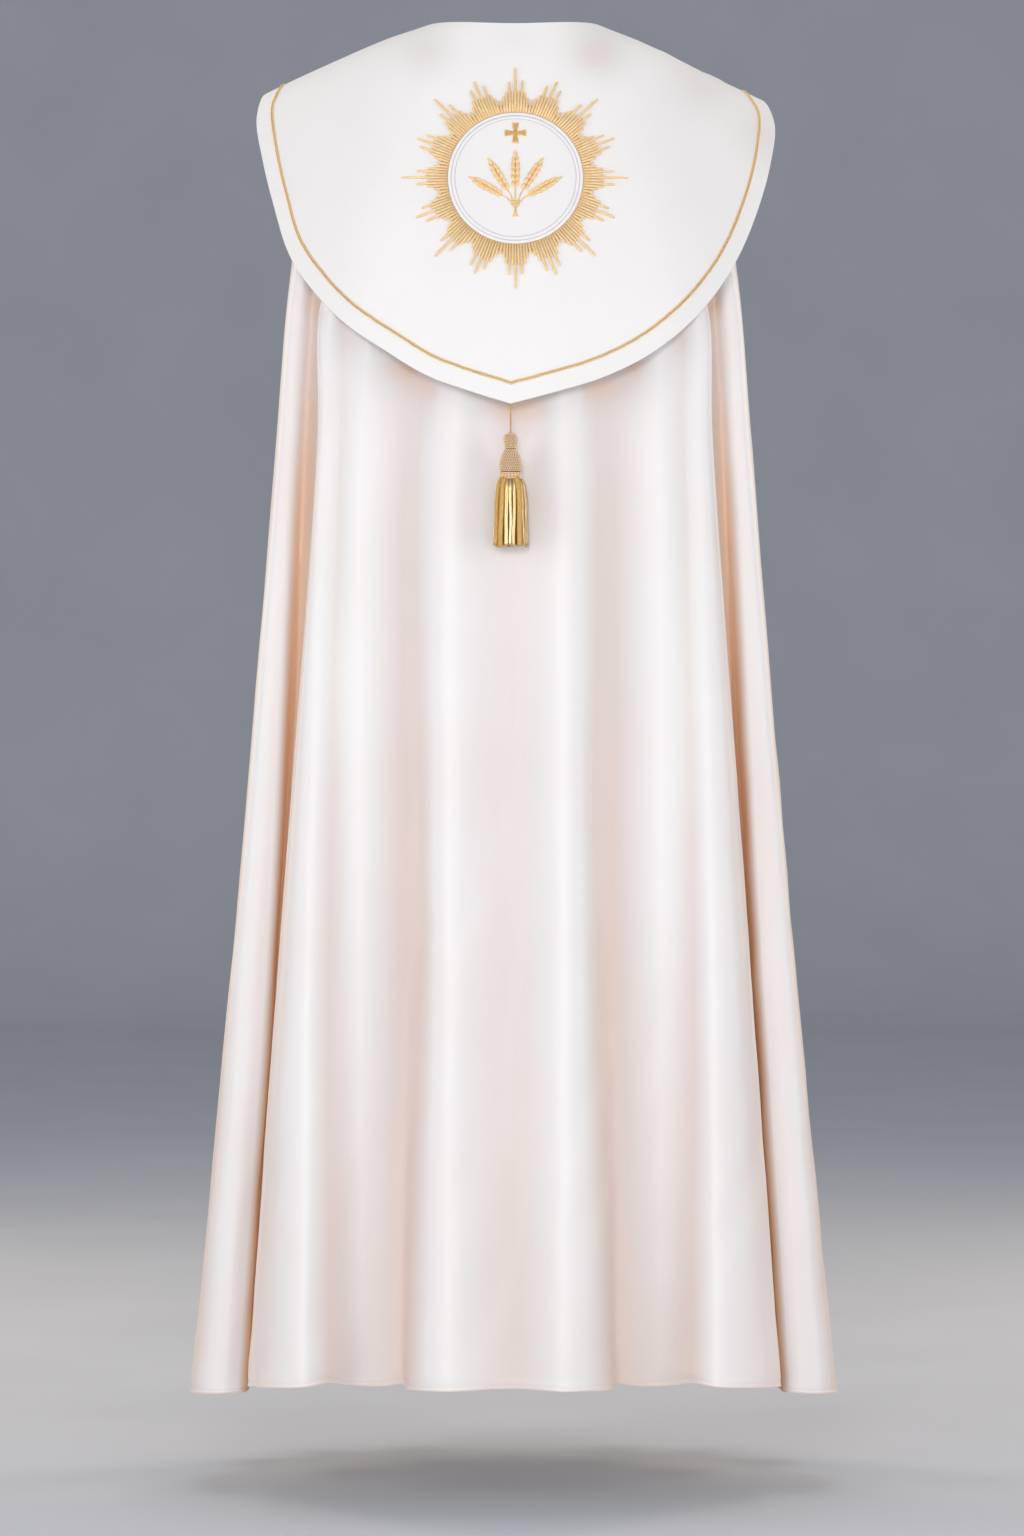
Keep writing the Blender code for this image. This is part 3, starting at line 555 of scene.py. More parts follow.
def stitches(run, ways, radius):
    """Short stitches laid end to end along a run of points, each humped off the cloth in its middle."""
    lengths = run_lengths(run)
    share, height, thick = np.array(STITCH_SHAPE).T
    parts = []
    for start in np.arange(0, lengths[-1] - STITCH_LENGTH, STITCH_LENGTH + STITCH_GAP):
        at = start + STITCH_LENGTH * share
        line = np.stack([np.interp(at, lengths, run[:, k]) for k in range(3)], 1)
        way = np.stack([np.interp(at, lengths, ways[:, k]) for k in range(3)], 1)
        parts.append(strand(line + way * height[:, None] * radius, thick * radius, 5))
    return together(parts)


stitch_ivory = thread("stitch_ivory", (0.84, 0.77, 0.71), (0.74, 0.65, 0.58), 0.0004, 0.5, 0.0, 0.0001)
hem_stitches = stitches(along_hem(mantle), along_hem(outward(mantle)), STITCH_RADIUS)
put_on(add_mesh("mantle_hem_stitches", *hem_stitches), stitch_ivory, "satin")


# Hood: a stiffened shield of whiter satin that is sewn into the neck and lies flat on the back. A border of
# the same satin runs round it, down to a blunt point.
HOOD_WALL = 0.0026
HOOD_NECK = ("hood neck", 0.0962, 0.0726, 0.1160, 0.0558, 0.0628, -0.0850, 2.0)
# Each rib of the hood's right half: its direction at the neck in degrees, its bend, and its end on the rim.
# Then the left half: how much further in its end lies, and how much higher its bend and its end.
RIBS = (
    ("point", 0, (0.000, -0.174, -0.085), (-0.0035, -0.232, -0.370), (0.000, 0.000, 0.000)),
    ("point_side", 11, (0.022, -0.174, -0.082), (0.045, -0.228, -0.357), (0.000, 0.000, 0.000)),
    ("lower", 22, (0.048, -0.173, -0.074), (0.0935, -0.220, -0.3415), (0.000, 0.000, 0.0028)),
    ("lower_curve", 33, (0.079, -0.171, -0.060), (0.138, -0.206, -0.3195), (0.000, 0.002, 0.0085)),
    ("curve", 44, (0.113, -0.164, -0.040), (0.180, -0.185, -0.2875), (0.001, 0.001, 0.0055)),
    ("side_low", 54, (0.146, -0.147, -0.020), (0.2135, -0.154, -0.2500), (0.0025, 0.000, 0.0015)),
    ("side", 63, (0.177, -0.119, -0.001), (0.243, -0.114, -0.202), (0.001, 0.002, 0.000)),
    ("side_high", 71, (0.203, -0.085, 0.010), (0.266, -0.078, -0.146), (0.005, 0.005, 0.002)),
    ("wing_low", 78, (0.219, -0.049, 0.013), (0.281, -0.046, -0.093), (0.006, 0.009, 0.004)),
    ("wing", 85, (0.225, -0.016, 0.013), (0.287, -0.016, -0.047), (0.004, 0.009, 0.006)),
    ("wing_top", 93, (0.218, 0.012, 0.010), (0.2755, 0.012, -0.017), (0.000, 0.009, 0.007)),
    ("front_end", 102, (0.204, 0.042, 0.004), (0.262, 0.045, -0.030), (0.000, 0.009, 0.007)),
)
BORDER_WIDTH, BORDER_RIM = 0.022, 0.0009
RIB_STEPS, SHIELD_STEPS, BORDER_STEPS = 12, 64, 10
SHOULDER_DENT_X, SHOULDER_DENT_Z, SHOULDER_DENT_RADIUS, SHOULDER_DENT_DEPTH = 0.106, 0.044, 0.020, 0.0012
SHIELD_RIPPLE, SHIELD_RIPPLE_WIDE, SHIELD_RIPPLE_LONG = 0.0007, 0.06, 0.07
SHIELD_RIPPLE_FULL, SHIELD_CALM_EDGE = 0.1, 0.03
# The shade painted under the rim on the mantle: how much warm shade, how far down it reaches, and the
# painted shade of a full fold.
RIM_SHADE, RIM_SHADE_DROP, RIM_SHADE_FOLD = 0.62, 0.016, 0.13
RIM_SHADE_RIBS = slice(5 * RIB_STEPS, -5 * RIB_STEPS)
HOOD_WHITE = (0.89, 0.868, 0.858)
HOOD_WHITE_DEEP = (0.865, 0.84, 0.83)
# Painted shade where the hood turns away from the light, at the neck and on the right shoulder: x, z,
# radius and how much.
HOOD_SHADES = (
    (-0.094, 0.022, 0.030, 0.17),
    (0.090, 0.022, 0.032, 0.30),
    (0.000, 0.040, 0.022, 0.06),
    (0.205, -0.012, 0.036, 0.14),
    (0.278, -0.060, 0.040, 0.16),
)
# The same painted shade on the mantle, below the hood's point and beside the gold of the tassel.
MANTLE_SHADES = ((0.024, -0.374, 0.022, 0.16), (0.026, -0.464, 0.024, 0.17))

neck_ends = section_points(HOOD_NECK, np.radians([rib[1] for rib in RIBS]))
right_ribs = np.array([[neck, rib[2], rib[3]] for neck, rib in zip(neck_ends, RIBS)])
left_by = [((0, 0, 0), (0, 0, bend_up), (end_in, 0, end_up)) for *_, (end_in, bend_up, end_up) in RIBS]
left_ribs = right_ribs * (-1, 1, 1) + np.array(left_by)
left_ribs[0] = right_ribs[0]
rib_places = even_places([RIB_STEPS] * (len(RIBS) - 1))
left_half, right_half = smooth_through(left_ribs[::-1], rib_places), smooth_through(right_ribs, rib_places)
ribs = np.concatenate([left_half[:-1], right_half])


def on_ribs(share):
    """A row of the hood: the point of every rib at its own share of the way from neck to rim."""
    t = share[:, None]
    return ribs[:, 0] * (1 - t) ** 2 + ribs[:, 1] * (2 * t * (1 - t)) + ribs[:, 2] * t**2


rim_way = np.gradient(ribs[:, 2], axis=0)
rim_way /= np.linalg.norm(rim_way, axis=1)[:, None]
seam_share = np.ones(len(ribs))
for share in np.linspace(1.0, 0.5, 501):
    wide = np.linalg.norm(np.cross(ribs[:, 2] - on_ribs(np.full(len(ribs), share)), rim_way), axis=1)
    seam_share = np.where(wide < BORDER_WIDTH, share, seam_share)
shield = np.array([on_ribs(seam_share * k / SHIELD_STEPS) for k in range(SHIELD_STEPS + 1)])
to_edge = (1 - seam_share) / BORDER_STEPS
border = np.array([on_ribs(seam_share + to_edge * k) for k in range(BORDER_STEPS + 1)])
from_dent = np.hypot(abs(shield[..., 0]) - SHOULDER_DENT_X, shield[..., 2] - SHOULDER_DENT_Z)
stretch, depth = lengths_along(shield, 1), lengths_along(shield, 0)
shield_proud = unevenness(stretch / SHIELD_RIPPLE_WIDE, depth / SHIELD_RIPPLE_LONG, 21)
shield_proud = SHIELD_RIPPLE * shield_proud * np.clip(depth / SHIELD_RIPPLE_FULL, 0, 1)
shield_proud = shield_proud - SHOULDER_DENT_DEPTH * np.exp(-((from_dent / SHOULDER_DENT_RADIUS) ** 2))
settle = np.clip((depth[-1:] - depth) / SHIELD_CALM_EDGE, 0, 1)
shield = shield + outward(shield) * (shield_proud * settle)[..., None]


def painted_shade_at(points, shades):
    """How much painted shade each point carries in the given shades."""
    shade_paint = np.zeros(points.shape[:-1])
    for x, z, radius, most in shades:
        off = (points[..., 0] - x) ** 2 + (points[..., 2] - z) ** 2
        shade_paint = shade_paint + most * np.exp(-off / radius**2)
    return shade_paint


# Painted warm shade on the mantle: between its folds beside the rim, which is lit only by light off the
# warm cloth round it, and in its own painted shades.
for node, *_ in PANELS:
    shaded = bpy.data.objects[node + "_satin"].data
    places = np.array([vert.co for vert in shaded.vertices])
    below = np.interp(places[:, 0], ribs[RIM_SHADE_RIBS, 2, 0], ribs[RIM_SHADE_RIBS, 2, 2]) - places[:, 2]
    shade_values = np.zeros(len(places), np.float32)
    shaded.attributes["painted_shade"].data.foreach_get("value", shade_values)
    shade = RIM_SHADE * np.exp(-np.maximum(below, -3 * below) / RIM_SHADE_DROP)
    shade = shade * np.clip(shade_values / RIM_SHADE_FOLD, 0.0, 1.0) + painted_shade_at(places, MANTLE_SHADES)
    shade_values = shade_values + shade * (places[:, 1] < 0) * (1 - shade_values)
    shaded.attributes["painted_shade"].data.foreach_set("value", shade_values.astype(np.float32))

satin_white = satin("satin_white", HOOD_WHITE, HOOD_WHITE_DEEP, roughness=0.55, gloss=0.35)
# The hood's pieces carry their painted shade.
hood_shield = cloth_sheet("hood_shield_satin", shield, HOOD_WALL, painted_shade_at(shield, HOOD_SHADES))
hood_border = cloth_sheet("hood_border_satin", border, HOOD_WALL, painted_shade_at(border, HOOD_SHADES), BORDER_RIM)
put_on(hood_shield, satin_white, "satin", "hood_shield")
put_on(hood_border, satin_white, "satin", "hood_border")


# Hood cords: two fine gold cords, each laid up from two strands, that are couched side by side over the seam
# between the shield and its border.
PAIR_STRAND_RADIUS = 0.00050
PAIR_HALF_GAP = 0.00108
PAIR_PITCH = 0.0034

hood_skin = np.concatenate([shield, border[1:]])
hood_tree = BVHTree.FromPolygons(hood_skin.reshape(-1, 3).tolist(), grid_faces(hood_skin).tolist())
seam_line = shield[-1]
seam_out = np.array([hood_tree.find_nearest(Vector(p))[1] for p in seam_line])
seam_way = np.gradient(seam_line, axis=0)
seam_way /= np.linalg.norm(seam_way, axis=1)[:, None]
to_rim = np.cross(seam_out, seam_way)
pair = []
for side in (-1, 1):
    run = seam_line + to_rim * PAIR_HALF_GAP * side + seam_out * PAIR_STRAND_RADIUS * 1.4
    pair += laid_up(run, PAIR_STRAND_RADIUS, 2, PAIR_PITCH, sides=5, spread=0.95, step=0.0009)
pair_gold = thread("pair_gold", (1.00, 0.73, 0.35), (0.84, 0.54, 0.21), 0.0008, 0.34, 0.2)
put_on(add_mesh("hood_cord_pair", *together(pair)), pair_gold, "gold_thread", "hood_cord")


# Emblem ground: a round patch of white satin, laid on the middle of the hood, and its padded ring. The ring
# is two rolls oversewn with close white stitches, each with a lilac-grey thread along its inner side that
# also stands for the shade in the groove there: painted shade.
EMBLEM_X, EMBLEM_Z = 0.0017, -0.1242
EMBLEM_TALL = 1.017  # it is worked slightly taller than wide
EMBLEM_LIFT = 0.0004
DISC_RADIUS = 0.0652
DISC_WALL = 0.0008
RING_ROLLS = ((0.0667, 0.0017), (0.0705, 0.0018))  # radius and half width of each roll
RING_FLAT, RING_STITCH = 0.62, 0.0007
LILAC_THREADS_AND_SHADE = ((0.0646, 0.00055), (0.0686, 0.00042))
CIRCLE_STEPS = 144


def on_hood(right_by, up_by, lift=0.0):
    """Points of the hood's face right and up of the emblem's middle, with a lift, and the ways it faces."""
    found, facing = [], []
    for x, z in zip(np.ravel(right_by), np.ravel(up_by)):
        seen_from = Vector((EMBLEM_X + x, -1.0, EMBLEM_Z + z * EMBLEM_TALL))
        place, normal = hood_tree.ray_cast(seen_from, Vector((0, 1, 0)))[:2]
        found.append(place)
        facing.append(normal)
    found, facing = np.array(found), np.array(facing)
    return found + facing * np.reshape(np.broadcast_to(lift, len(found)), (-1, 1)), facing


def circle_on_hood(radius, lift, steps=CIRCLE_STEPS):
    """A closed round of points about the emblem's middle."""
    turn = np.arange(steps) * math.tau / steps
    return on_hood(radius * np.sin(turn), radius * np.cos(turn), lift)


def round_patch(name, radii, lift, wall):
    """A flat round patch on the hood, through circles of the radii: a last radius of 0 closes its middle."""
    rings = [circle_on_hood(radius, lift + wall)[0] for radius in radii if radius]
    faces = []
    for low in range(0, (len(rings) - 1) * CIRCLE_STEPS, CIRCLE_STEPS):
        for c in range(CIRCLE_STEPS):
            n = (c + 1) % CIRCLE_STEPS
            faces.append([low + k for k in (c, n, n + CIRCLE_STEPS, c + CIRCLE_STEPS)])
    points = np.concatenate(rings)
    if not radii[-1]:
        last = len(points) - CIRCLE_STEPS
        faces += [[last + c, last + (c + 1) % CIRCLE_STEPS, len(points)] for c in range(CIRCLE_STEPS)]
        points = np.concatenate([points, on_hood([0], [0], lift + wall)[0]])
    return walled(add_mesh(name, points, faces, points[sum(faces, [])][:, (0, 2)]), wall, wall / 3)


disc_radii = [DISC_RADIUS * share for share in (1.0, 0.8, 0.6, 0.4, 0.2, 0.0)]
emblem_disc = round_patch("emblem_disc_satin", disc_radii, EMBLEM_LIFT, DISC_WALL)
disc_satin = satin("disc_satin", (0.885, 0.868, 0.862), (0.860, 0.842, 0.836), roughness=0.5, gloss=0.45)
put_on(emblem_disc, disc_satin, "white_satin", "emblem_disc")

ring_parts = []
for radius, half_width in RING_ROLLS:
    line, out = circle_on_hood(radius, EMBLEM_LIFT + 0.0007)
    ring_parts.append(strand(line, half_width, 14, RING_FLAT, up=out, closed=True))
emblem_ring = add_mesh("emblem_ring_padded", *together(ring_parts))
ring_white, ring_tree, ring_shader = new_material("ring_white")
ring_place = scaled_place(ring_tree, "UV", (1 / RING_STITCH, 0, 1))
ring_rows = add_node(ring_tree, "ShaderNodeTexWave", Vector=ring_place, Scale=0.314).outputs["Fac"]
# The stitches are painted darker in their lows, as painted shade between them.
ring_colour = colour_ramp(ring_tree, ring_rows, (0.0, (0.87, 0.855, 0.86)), (0.6, (0.94, 0.925, 0.925)))
colour_and_bump(ring_tree, ring_shader, ring_colour, ring_rows, 0.5, 0.0002)
ring_shader.inputs["Roughness"].default_value = 0.42
ring_shader.inputs["Sheen Weight"].default_value = 0.2
put_on(emblem_ring, ring_white, "white_satin", "emblem_ring")

lilac_and_shade = []
for radius, thick in LILAC_THREADS_AND_SHADE:
    line, out = circle_on_hood(radius, EMBLEM_LIFT + DISC_WALL + thick)
    lilac_and_shade.append(strand(line, thick, 6, up=out, closed=True))
lilac_thread_and_shade = thread("lilac_thread_and_shade", (0.70, 0.65, 0.71), (0.58, 0.53, 0.60), 0.0006, 0.5, 0.0, 0.0001)
put_on(add_mesh("emblem_ring_outline", *together(lilac_and_shade)), lilac_thread_and_shade, "white_satin")


# Emblem rays: sixteen groups of thick gold cord, laid side by side on a gold ground and couched down. The
# middle cord of a group is the longest and tapers to a point, and the ones beside it are cut in steps.
RAY_INNER = 0.0726
RAY_REACH = (0.0945, 0.1060, 0.0942, 0.0885, 0.0848)  # of the cords beside the middle one, outwards
RAY_LONG, RAY_SHORT = 0.1212, 0.1138  # of the middle cord, in every other group and in those between
RAY_HALF_WIDTH, RAY_FLAT = 0.00148, 0.62
RAY_GROUPS, RAY_CORDS = 16, range(-4, 6)
RAY_REACH_VARIES, RAY_LEAN_VARIES = 0.0012, 0.012
RAY_UPPER = 0.03  # how much longer the cords reach at the top
RAY_FAN = 0.55  # how much of its radial slant each side cord keeps
# Thickness along a cord, as (share of its length, share of full width): four pointed ones, then the others.
RAY_TAPERS = (
    ((0.0, 0.95), (0.4, 1.05), (0.65, 0.98), (0.85, 0.78), (0.96, 0.62), (0.99, 0.46), (1.0, 0.18)),
    ((0.0, 0.96), (0.5, 1.0), (0.85, 0.97), (0.95, 0.88), (0.985, 0.62), (1.0, 0.20)),
)

ray_random = np.random.default_rng(7)
ray_parts = []
slot_turn = math.tau / RAY_GROUPS / len(RAY_CORDS)
for group in range(RAY_GROUPS):
    middle_turn = group * math.tau / RAY_GROUPS
    for k in RAY_CORDS:
        away = abs(k)
        reach = RAY_REACH[away - 1] if away else RAY_SHORT if group % 2 else RAY_LONG
        reach = reach * (1 + RAY_UPPER * max(0, math.cos(middle_turn)))
        reach = reach + ray_random.uniform(-RAY_REACH_VARIES, RAY_REACH_VARIES)
        foot_turn = middle_turn + k * slot_turn
        lean = middle_turn + k * slot_turn * (RAY_FAN if away < max(RAY_CORDS) else 1)
        lean = lean + ray_random.uniform(-RAY_LEAN_VARIES, RAY_LEAN_VARIES)
        foot = RAY_INNER * np.array((math.sin(foot_turn), math.cos(foot_turn)))
        way = np.array((math.sin(lean), math.cos(lean)))
        taper = RAY_TAPERS[0 if away == 0 and group % 4 == 0 else 1]
        at = np.array([t[0] for t in taper]) * (reach - RAY_INNER)
        thick = np.array([t[1] for t in taper]) * RAY_HALF_WIDTH * ray_random.uniform(0.94, 1.04)
        line, out = on_hood(foot[0] + way[0] * at, foot[1] + way[1] * at, EMBLEM_LIFT + thick * RAY_FLAT)
        ray_parts.append(strand(line, thick, 8, RAY_FLAT, up=out))
ray_gold = thread("ray_gold", (0.96, 0.70, 0.38), (0.72, 0.45, 0.19), 0.0007, 0.38, 0.2, 0.00006, 300.0)
put_on(add_mesh("emblem_rays_cords", *together(ray_parts)), ray_gold, "gold_thread", "emblem_rays")

# A gold ground under the cords, painted darker than them as the shade in the gaps between them.
rays_ground = round_patch("emblem_rays_ground", (0.0815, 0.0765, 0.0715), 0.0002, 0.0005)
ground_gold_and_shade = thread("ground_gold_and_shade", (0.52, 0.30, 0.12), (0.34, 0.18, 0.06), 0.0012, 0.55, 0.1)
put_on(rays_ground, ground_gold_and_shade, "gold_thread")


# Cross: a small padded cross with flared arms, worked solid in gold thread inside a corded outline.
CROSS_Z, CROSS_REACH, CROSS_BAR, CROSS_FLARE = 0.0490, 0.0115, 0.0021, 0.0038
CROSS_HEIGHT = 0.0011

bpy.ops.object.select_all(action="DESELECT")
bpy.ops.mesh.primitive_cube_add(size=2 * CROSS_BAR)
cross = bpy.context.active_object
cross.name = cross.data.name = "emblem_cross_padded"
bpy.ops.object.mode_set(mode="EDIT")
bpy.ops.mesh.select_mode(type="FACE")
for way in (Vector((1, 0, 0)), Vector((-1, 0, 0)), Vector((0, 0, 1)), Vector((0, 0, -1))):
    bpy.ops.mesh.select_all(action="DESELECT")
    bpy.ops.object.mode_set(mode="OBJECT")
    for face in cross.data.polygons:
        face.select = face.normal.dot(way) > 0.9 and face.center.dot(way) > CROSS_BAR * 0.9
    bpy.ops.object.mode_set(mode="EDIT")
    bpy.ops.mesh.extrude_region_move(TRANSFORM_OT_translate={"value": way * (CROSS_REACH - CROSS_BAR)})
    flare = CROSS_FLARE / CROSS_BAR
    bpy.ops.transform.resize(value=(1 if way.x else flare, 1, 1 if way.z else flare))
bpy.ops.mesh.select_all(action="SELECT")
bpy.ops.transform.resize(value=(1, CROSS_HEIGHT / (2 * CROSS_BAR), 1))
bpy.ops.mesh.subdivide(number_cuts=5)
bpy.ops.object.mode_set(mode="OBJECT")
for vert in cross.data.vertices:
    x, z = abs(vert.co.x), abs(vert.co.z)
    to_side = CROSS_BAR + (CROSS_FLARE - CROSS_BAR) * max(x, z) / CROSS_REACH - min(x, z)
    inside = max(0.0, min(to_side, CROSS_REACH - max(x, z)) / CROSS_BAR)
    height = (CROSS_HEIGHT / 2 - vert.co.y) * (0.45 + 0.75 * math.sqrt(min(1.0, inside)))
    vert.co = on_hood([vert.co.x], [vert.co.z + CROSS_Z], EMBLEM_LIFT + DISC_WALL + height)[0][0]
cross.data.shade_smooth()
knot_gold, knot_tree, knot_shader = new_material("knot_gold")
knot_place = scaled_place(knot_tree, "Object", (1, 1, 1))
knots = add_node(knot_tree, "ShaderNodeTexVoronoi", Vector=knot_place, Scale=900.0).outputs["Distance"]
# Each knot is lighter in its middle and darker at its edges: painted shade between the knots.
knot_colour = colour_ramp(knot_tree, knots, (0.15, (0.88, 0.61, 0.29)), (0.7, (0.60, 0.35, 0.12)))
colour_and_bump(knot_tree, knot_shader, knot_colour, knots, 0.6, -0.0004)
knot_shader.inputs["Metallic"].default_value = 0.3
knot_shader.inputs["Roughness"].default_value = 0.42
put_on(cross, knot_gold, "gold_thread", "emblem_cross")

cross_corners = []
for quarter in range(4):
    c, s = math.cos(math.radians(90 * quarter)), math.sin(math.radians(90 * quarter))
    for x, z in ((-CROSS_FLARE, CROSS_REACH), (CROSS_FLARE, CROSS_REACH), (CROSS_BAR, CROSS_BAR)):
        cross_corners.append((x * c + z * s, z * c - x * s))
cross_run = []
for a, b in zip(cross_corners, cross_corners[1:] + cross_corners[:1]):
    cross_run += [np.array(a) + (np.array(b) - np.array(a)) * t for t in (0.06, 0.35, 0.65, 0.94)]
cross_run = np.array(cross_run)
line, out = on_hood(cross_run[:, 0], cross_run[:, 1] + CROSS_Z, EMBLEM_LIFT + DISC_WALL + 0.0005)
cross_outline = add_mesh("emblem_cross_outline", *strand(line, 0.0007, 6, up=out, closed=True))
put_on(cross_outline, ray_gold, "gold_thread")


# Wheat: five ears of generic wheat, fanned out of one tie, in the middle of the patch. Each is a laid cord
# for a stalk, with pairs of padded grains up its sides and one more at its tip.
EAR_LEANS = (-60.0, -31.0, 0.0, 31.0, 60.0)
EAR_FOOT_Z = -0.028
STALK_FOOT = 0.0150
# Pairs of grains: how far up the stalk, how far each grain reaches sideways, its length and half width.
GRAIN_PAIRS = (
    (0.0165, 0.0030, 0.0095, 0.00190),
    (0.0230, 0.0036, 0.0105, 0.00220),
    (0.0295, 0.0038, 0.0108, 0.00230),
    (0.0360, 0.0036, 0.0104, 0.00225),
    (0.0425, 0.0028, 0.0096, 0.00195),
)
TIP_GRAIN = (0.0480, 0.0105, 0.0019)  # how far up the stalk, its length and half width
GRAIN_SHAPE = ((0.0, 0.15), (0.12, 0.62), (0.35, 1.0), (0.62, 0.88), (0.85, 0.45), (1.0, 0.06))
GRAIN_FLAT = 0.62
STALK_HALF_WIDTH = 0.00095
STALK_SPLAY, STALK_APART, LEAN_STEP = 0.42, 0.0015, 31  # how the stalks spread out below the tie
STALK_POINTS = (-STALK_FOOT, -0.009, -0.004, 0.0, 0.004, 0.010, 0.018, 0.030, 0.050)
TIE_WRAPS, TIE_HALF_LENGTH, TIE_HALF_WIDTH, TIE_STEP, TIE_BELOW = 4, 0.0046, 0.0009, 0.0017, 0.0026
ON_DISC = EMBLEM_LIFT + DISC_WALL


def on_ear(lean, up_stalk, aside):
    """Right and up of the emblem's middle, for distances up a leaning stalk and aside from it."""
    s, c = math.sin(math.radians(lean)), math.cos(math.radians(lean))
    return s * up_stalk + c * aside, EAR_FOOT_Z + c * up_stalk - s * aside


def laid_strand(right_by, up_by, thick, sides=6, flat=0.7, over=0.0):
    """A strand laid on the patch, with its underside touching it."""
    thick = np.broadcast_to(thick, np.shape(right_by))
    line, out = on_hood(right_by, up_by, ON_DISC + over + thick * flat)
    return strand(line, thick, sides, flat, up=out)


grain_share, grain_thick = np.array(GRAIN_SHAPE).T
for number, lean in enumerate(EAR_LEANS, 1):
    parts = []
    stalk_at = np.array(STALK_POINTS)
    below = np.clip(-stalk_at, 0, None)
    right_by, up_by = on_ear(lean, np.clip(stalk_at, 0, None), 0.0)
    right_by = right_by - below * math.sin(math.radians(lean)) * STALK_SPLAY
    right_by = right_by + STALK_APART * lean / LEAN_STEP * (stalk_at < 0.005)
    parts.append(laid_strand(right_by, up_by - below, STALK_HALF_WIDTH, over=0.0001))
    for height, aside, length, half_width in GRAIN_PAIRS:
        for side in (-1, 1):
            bow = side * aside * (0.30 + 1.15 * grain_share - 0.55 * grain_share**2)
            grain = on_ear(lean, height + grain_share * length, bow)
            parts.append(laid_strand(*grain, grain_thick * half_width, 8, GRAIN_FLAT, over=0.0003))
    height, length, half_width = TIP_GRAIN
    grain = on_ear(lean, height + grain_share * length, 0 * grain_share)
    parts.append(laid_strand(*grain, grain_thick * half_width, 8, GRAIN_FLAT, over=0.0004))
    ear = f"emblem_ear_{number}"
    put_on(add_mesh(ear + "_grain", *together(parts)), ray_gold, "gold_thread", ear)

wraps = []
across = np.linspace(-TIE_HALF_LENGTH, TIE_HALF_LENGTH, 7)
for k in range(TIE_WRAPS):
    wrap_z = np.full(len(across), EAR_FOOT_Z - TIE_BELOW + TIE_STEP * k)
    wraps.append(laid_strand(across, wrap_z, TIE_HALF_WIDTH, 6, 0.8, over=0.0013))
put_on(add_mesh("emblem_tie_wraps", *together(wraps)), ray_gold, "gold_thread", "emblem_tie")


# Tassel head: two turned cores covered in knotted thread, a small knob over a bulb, above a collar of plain
# wraps of thread. The cord comes out of its top.
KNOB = ((0.0018, -0.4012), (0.0058, -0.4034), (0.0070, -0.4085), (0.0062, -0.4128), (0.0054, -0.4180))
BULB = ((0.0056, -0.4184), (0.0088, -0.4240), (0.0111, -0.4320), (0.0114, -0.4370), (0.0106, -0.4428))
KNOT_ROW, KNOT_SPACING, KNOT_LENGTH, KNOT_HALF_WIDTH = 0.00178, 0.00232, 0.00130, 0.00078
COLLAR_WRAPS = 8
COLLAR_TOP, COLLAR_BOTTOM, COLLAR_RADIUS, WRAP_RADIUS = -0.4432, -0.4494, 0.0115, 0.00056
HEAD_THREAD = (1.00, 0.78, 0.52)
HEAD_THREAD_DARK = (0.62, 0.38, 0.19)


def unit_knot():
    """A six-sided bead, 1 long each way, with its length along its first axis."""
    points = [(-1, 0, 0)]
    for x, r in ((-0.7, 0.7), (0.0, 1.0), (0.7, 0.7)):
        points += [(x, r * math.cos(k * math.tau / 6), r * math.sin(k * math.tau / 6)) for k in range(6)]
    points.append((1, 0, 0))
    faces = [(0, 1 + (k + 1) % 6, 1 + k) for k in range(6)]
    for ring in (1, 7):
        faces += [(ring + k, ring + (k + 1) % 6, ring + 6 + (k + 1) % 6, ring + 6 + k) for k in range(6)]
    faces += [(13 + k, 13 + (k + 1) % 6, 19) for k in range(6)]
    return np.array(points, float), faces


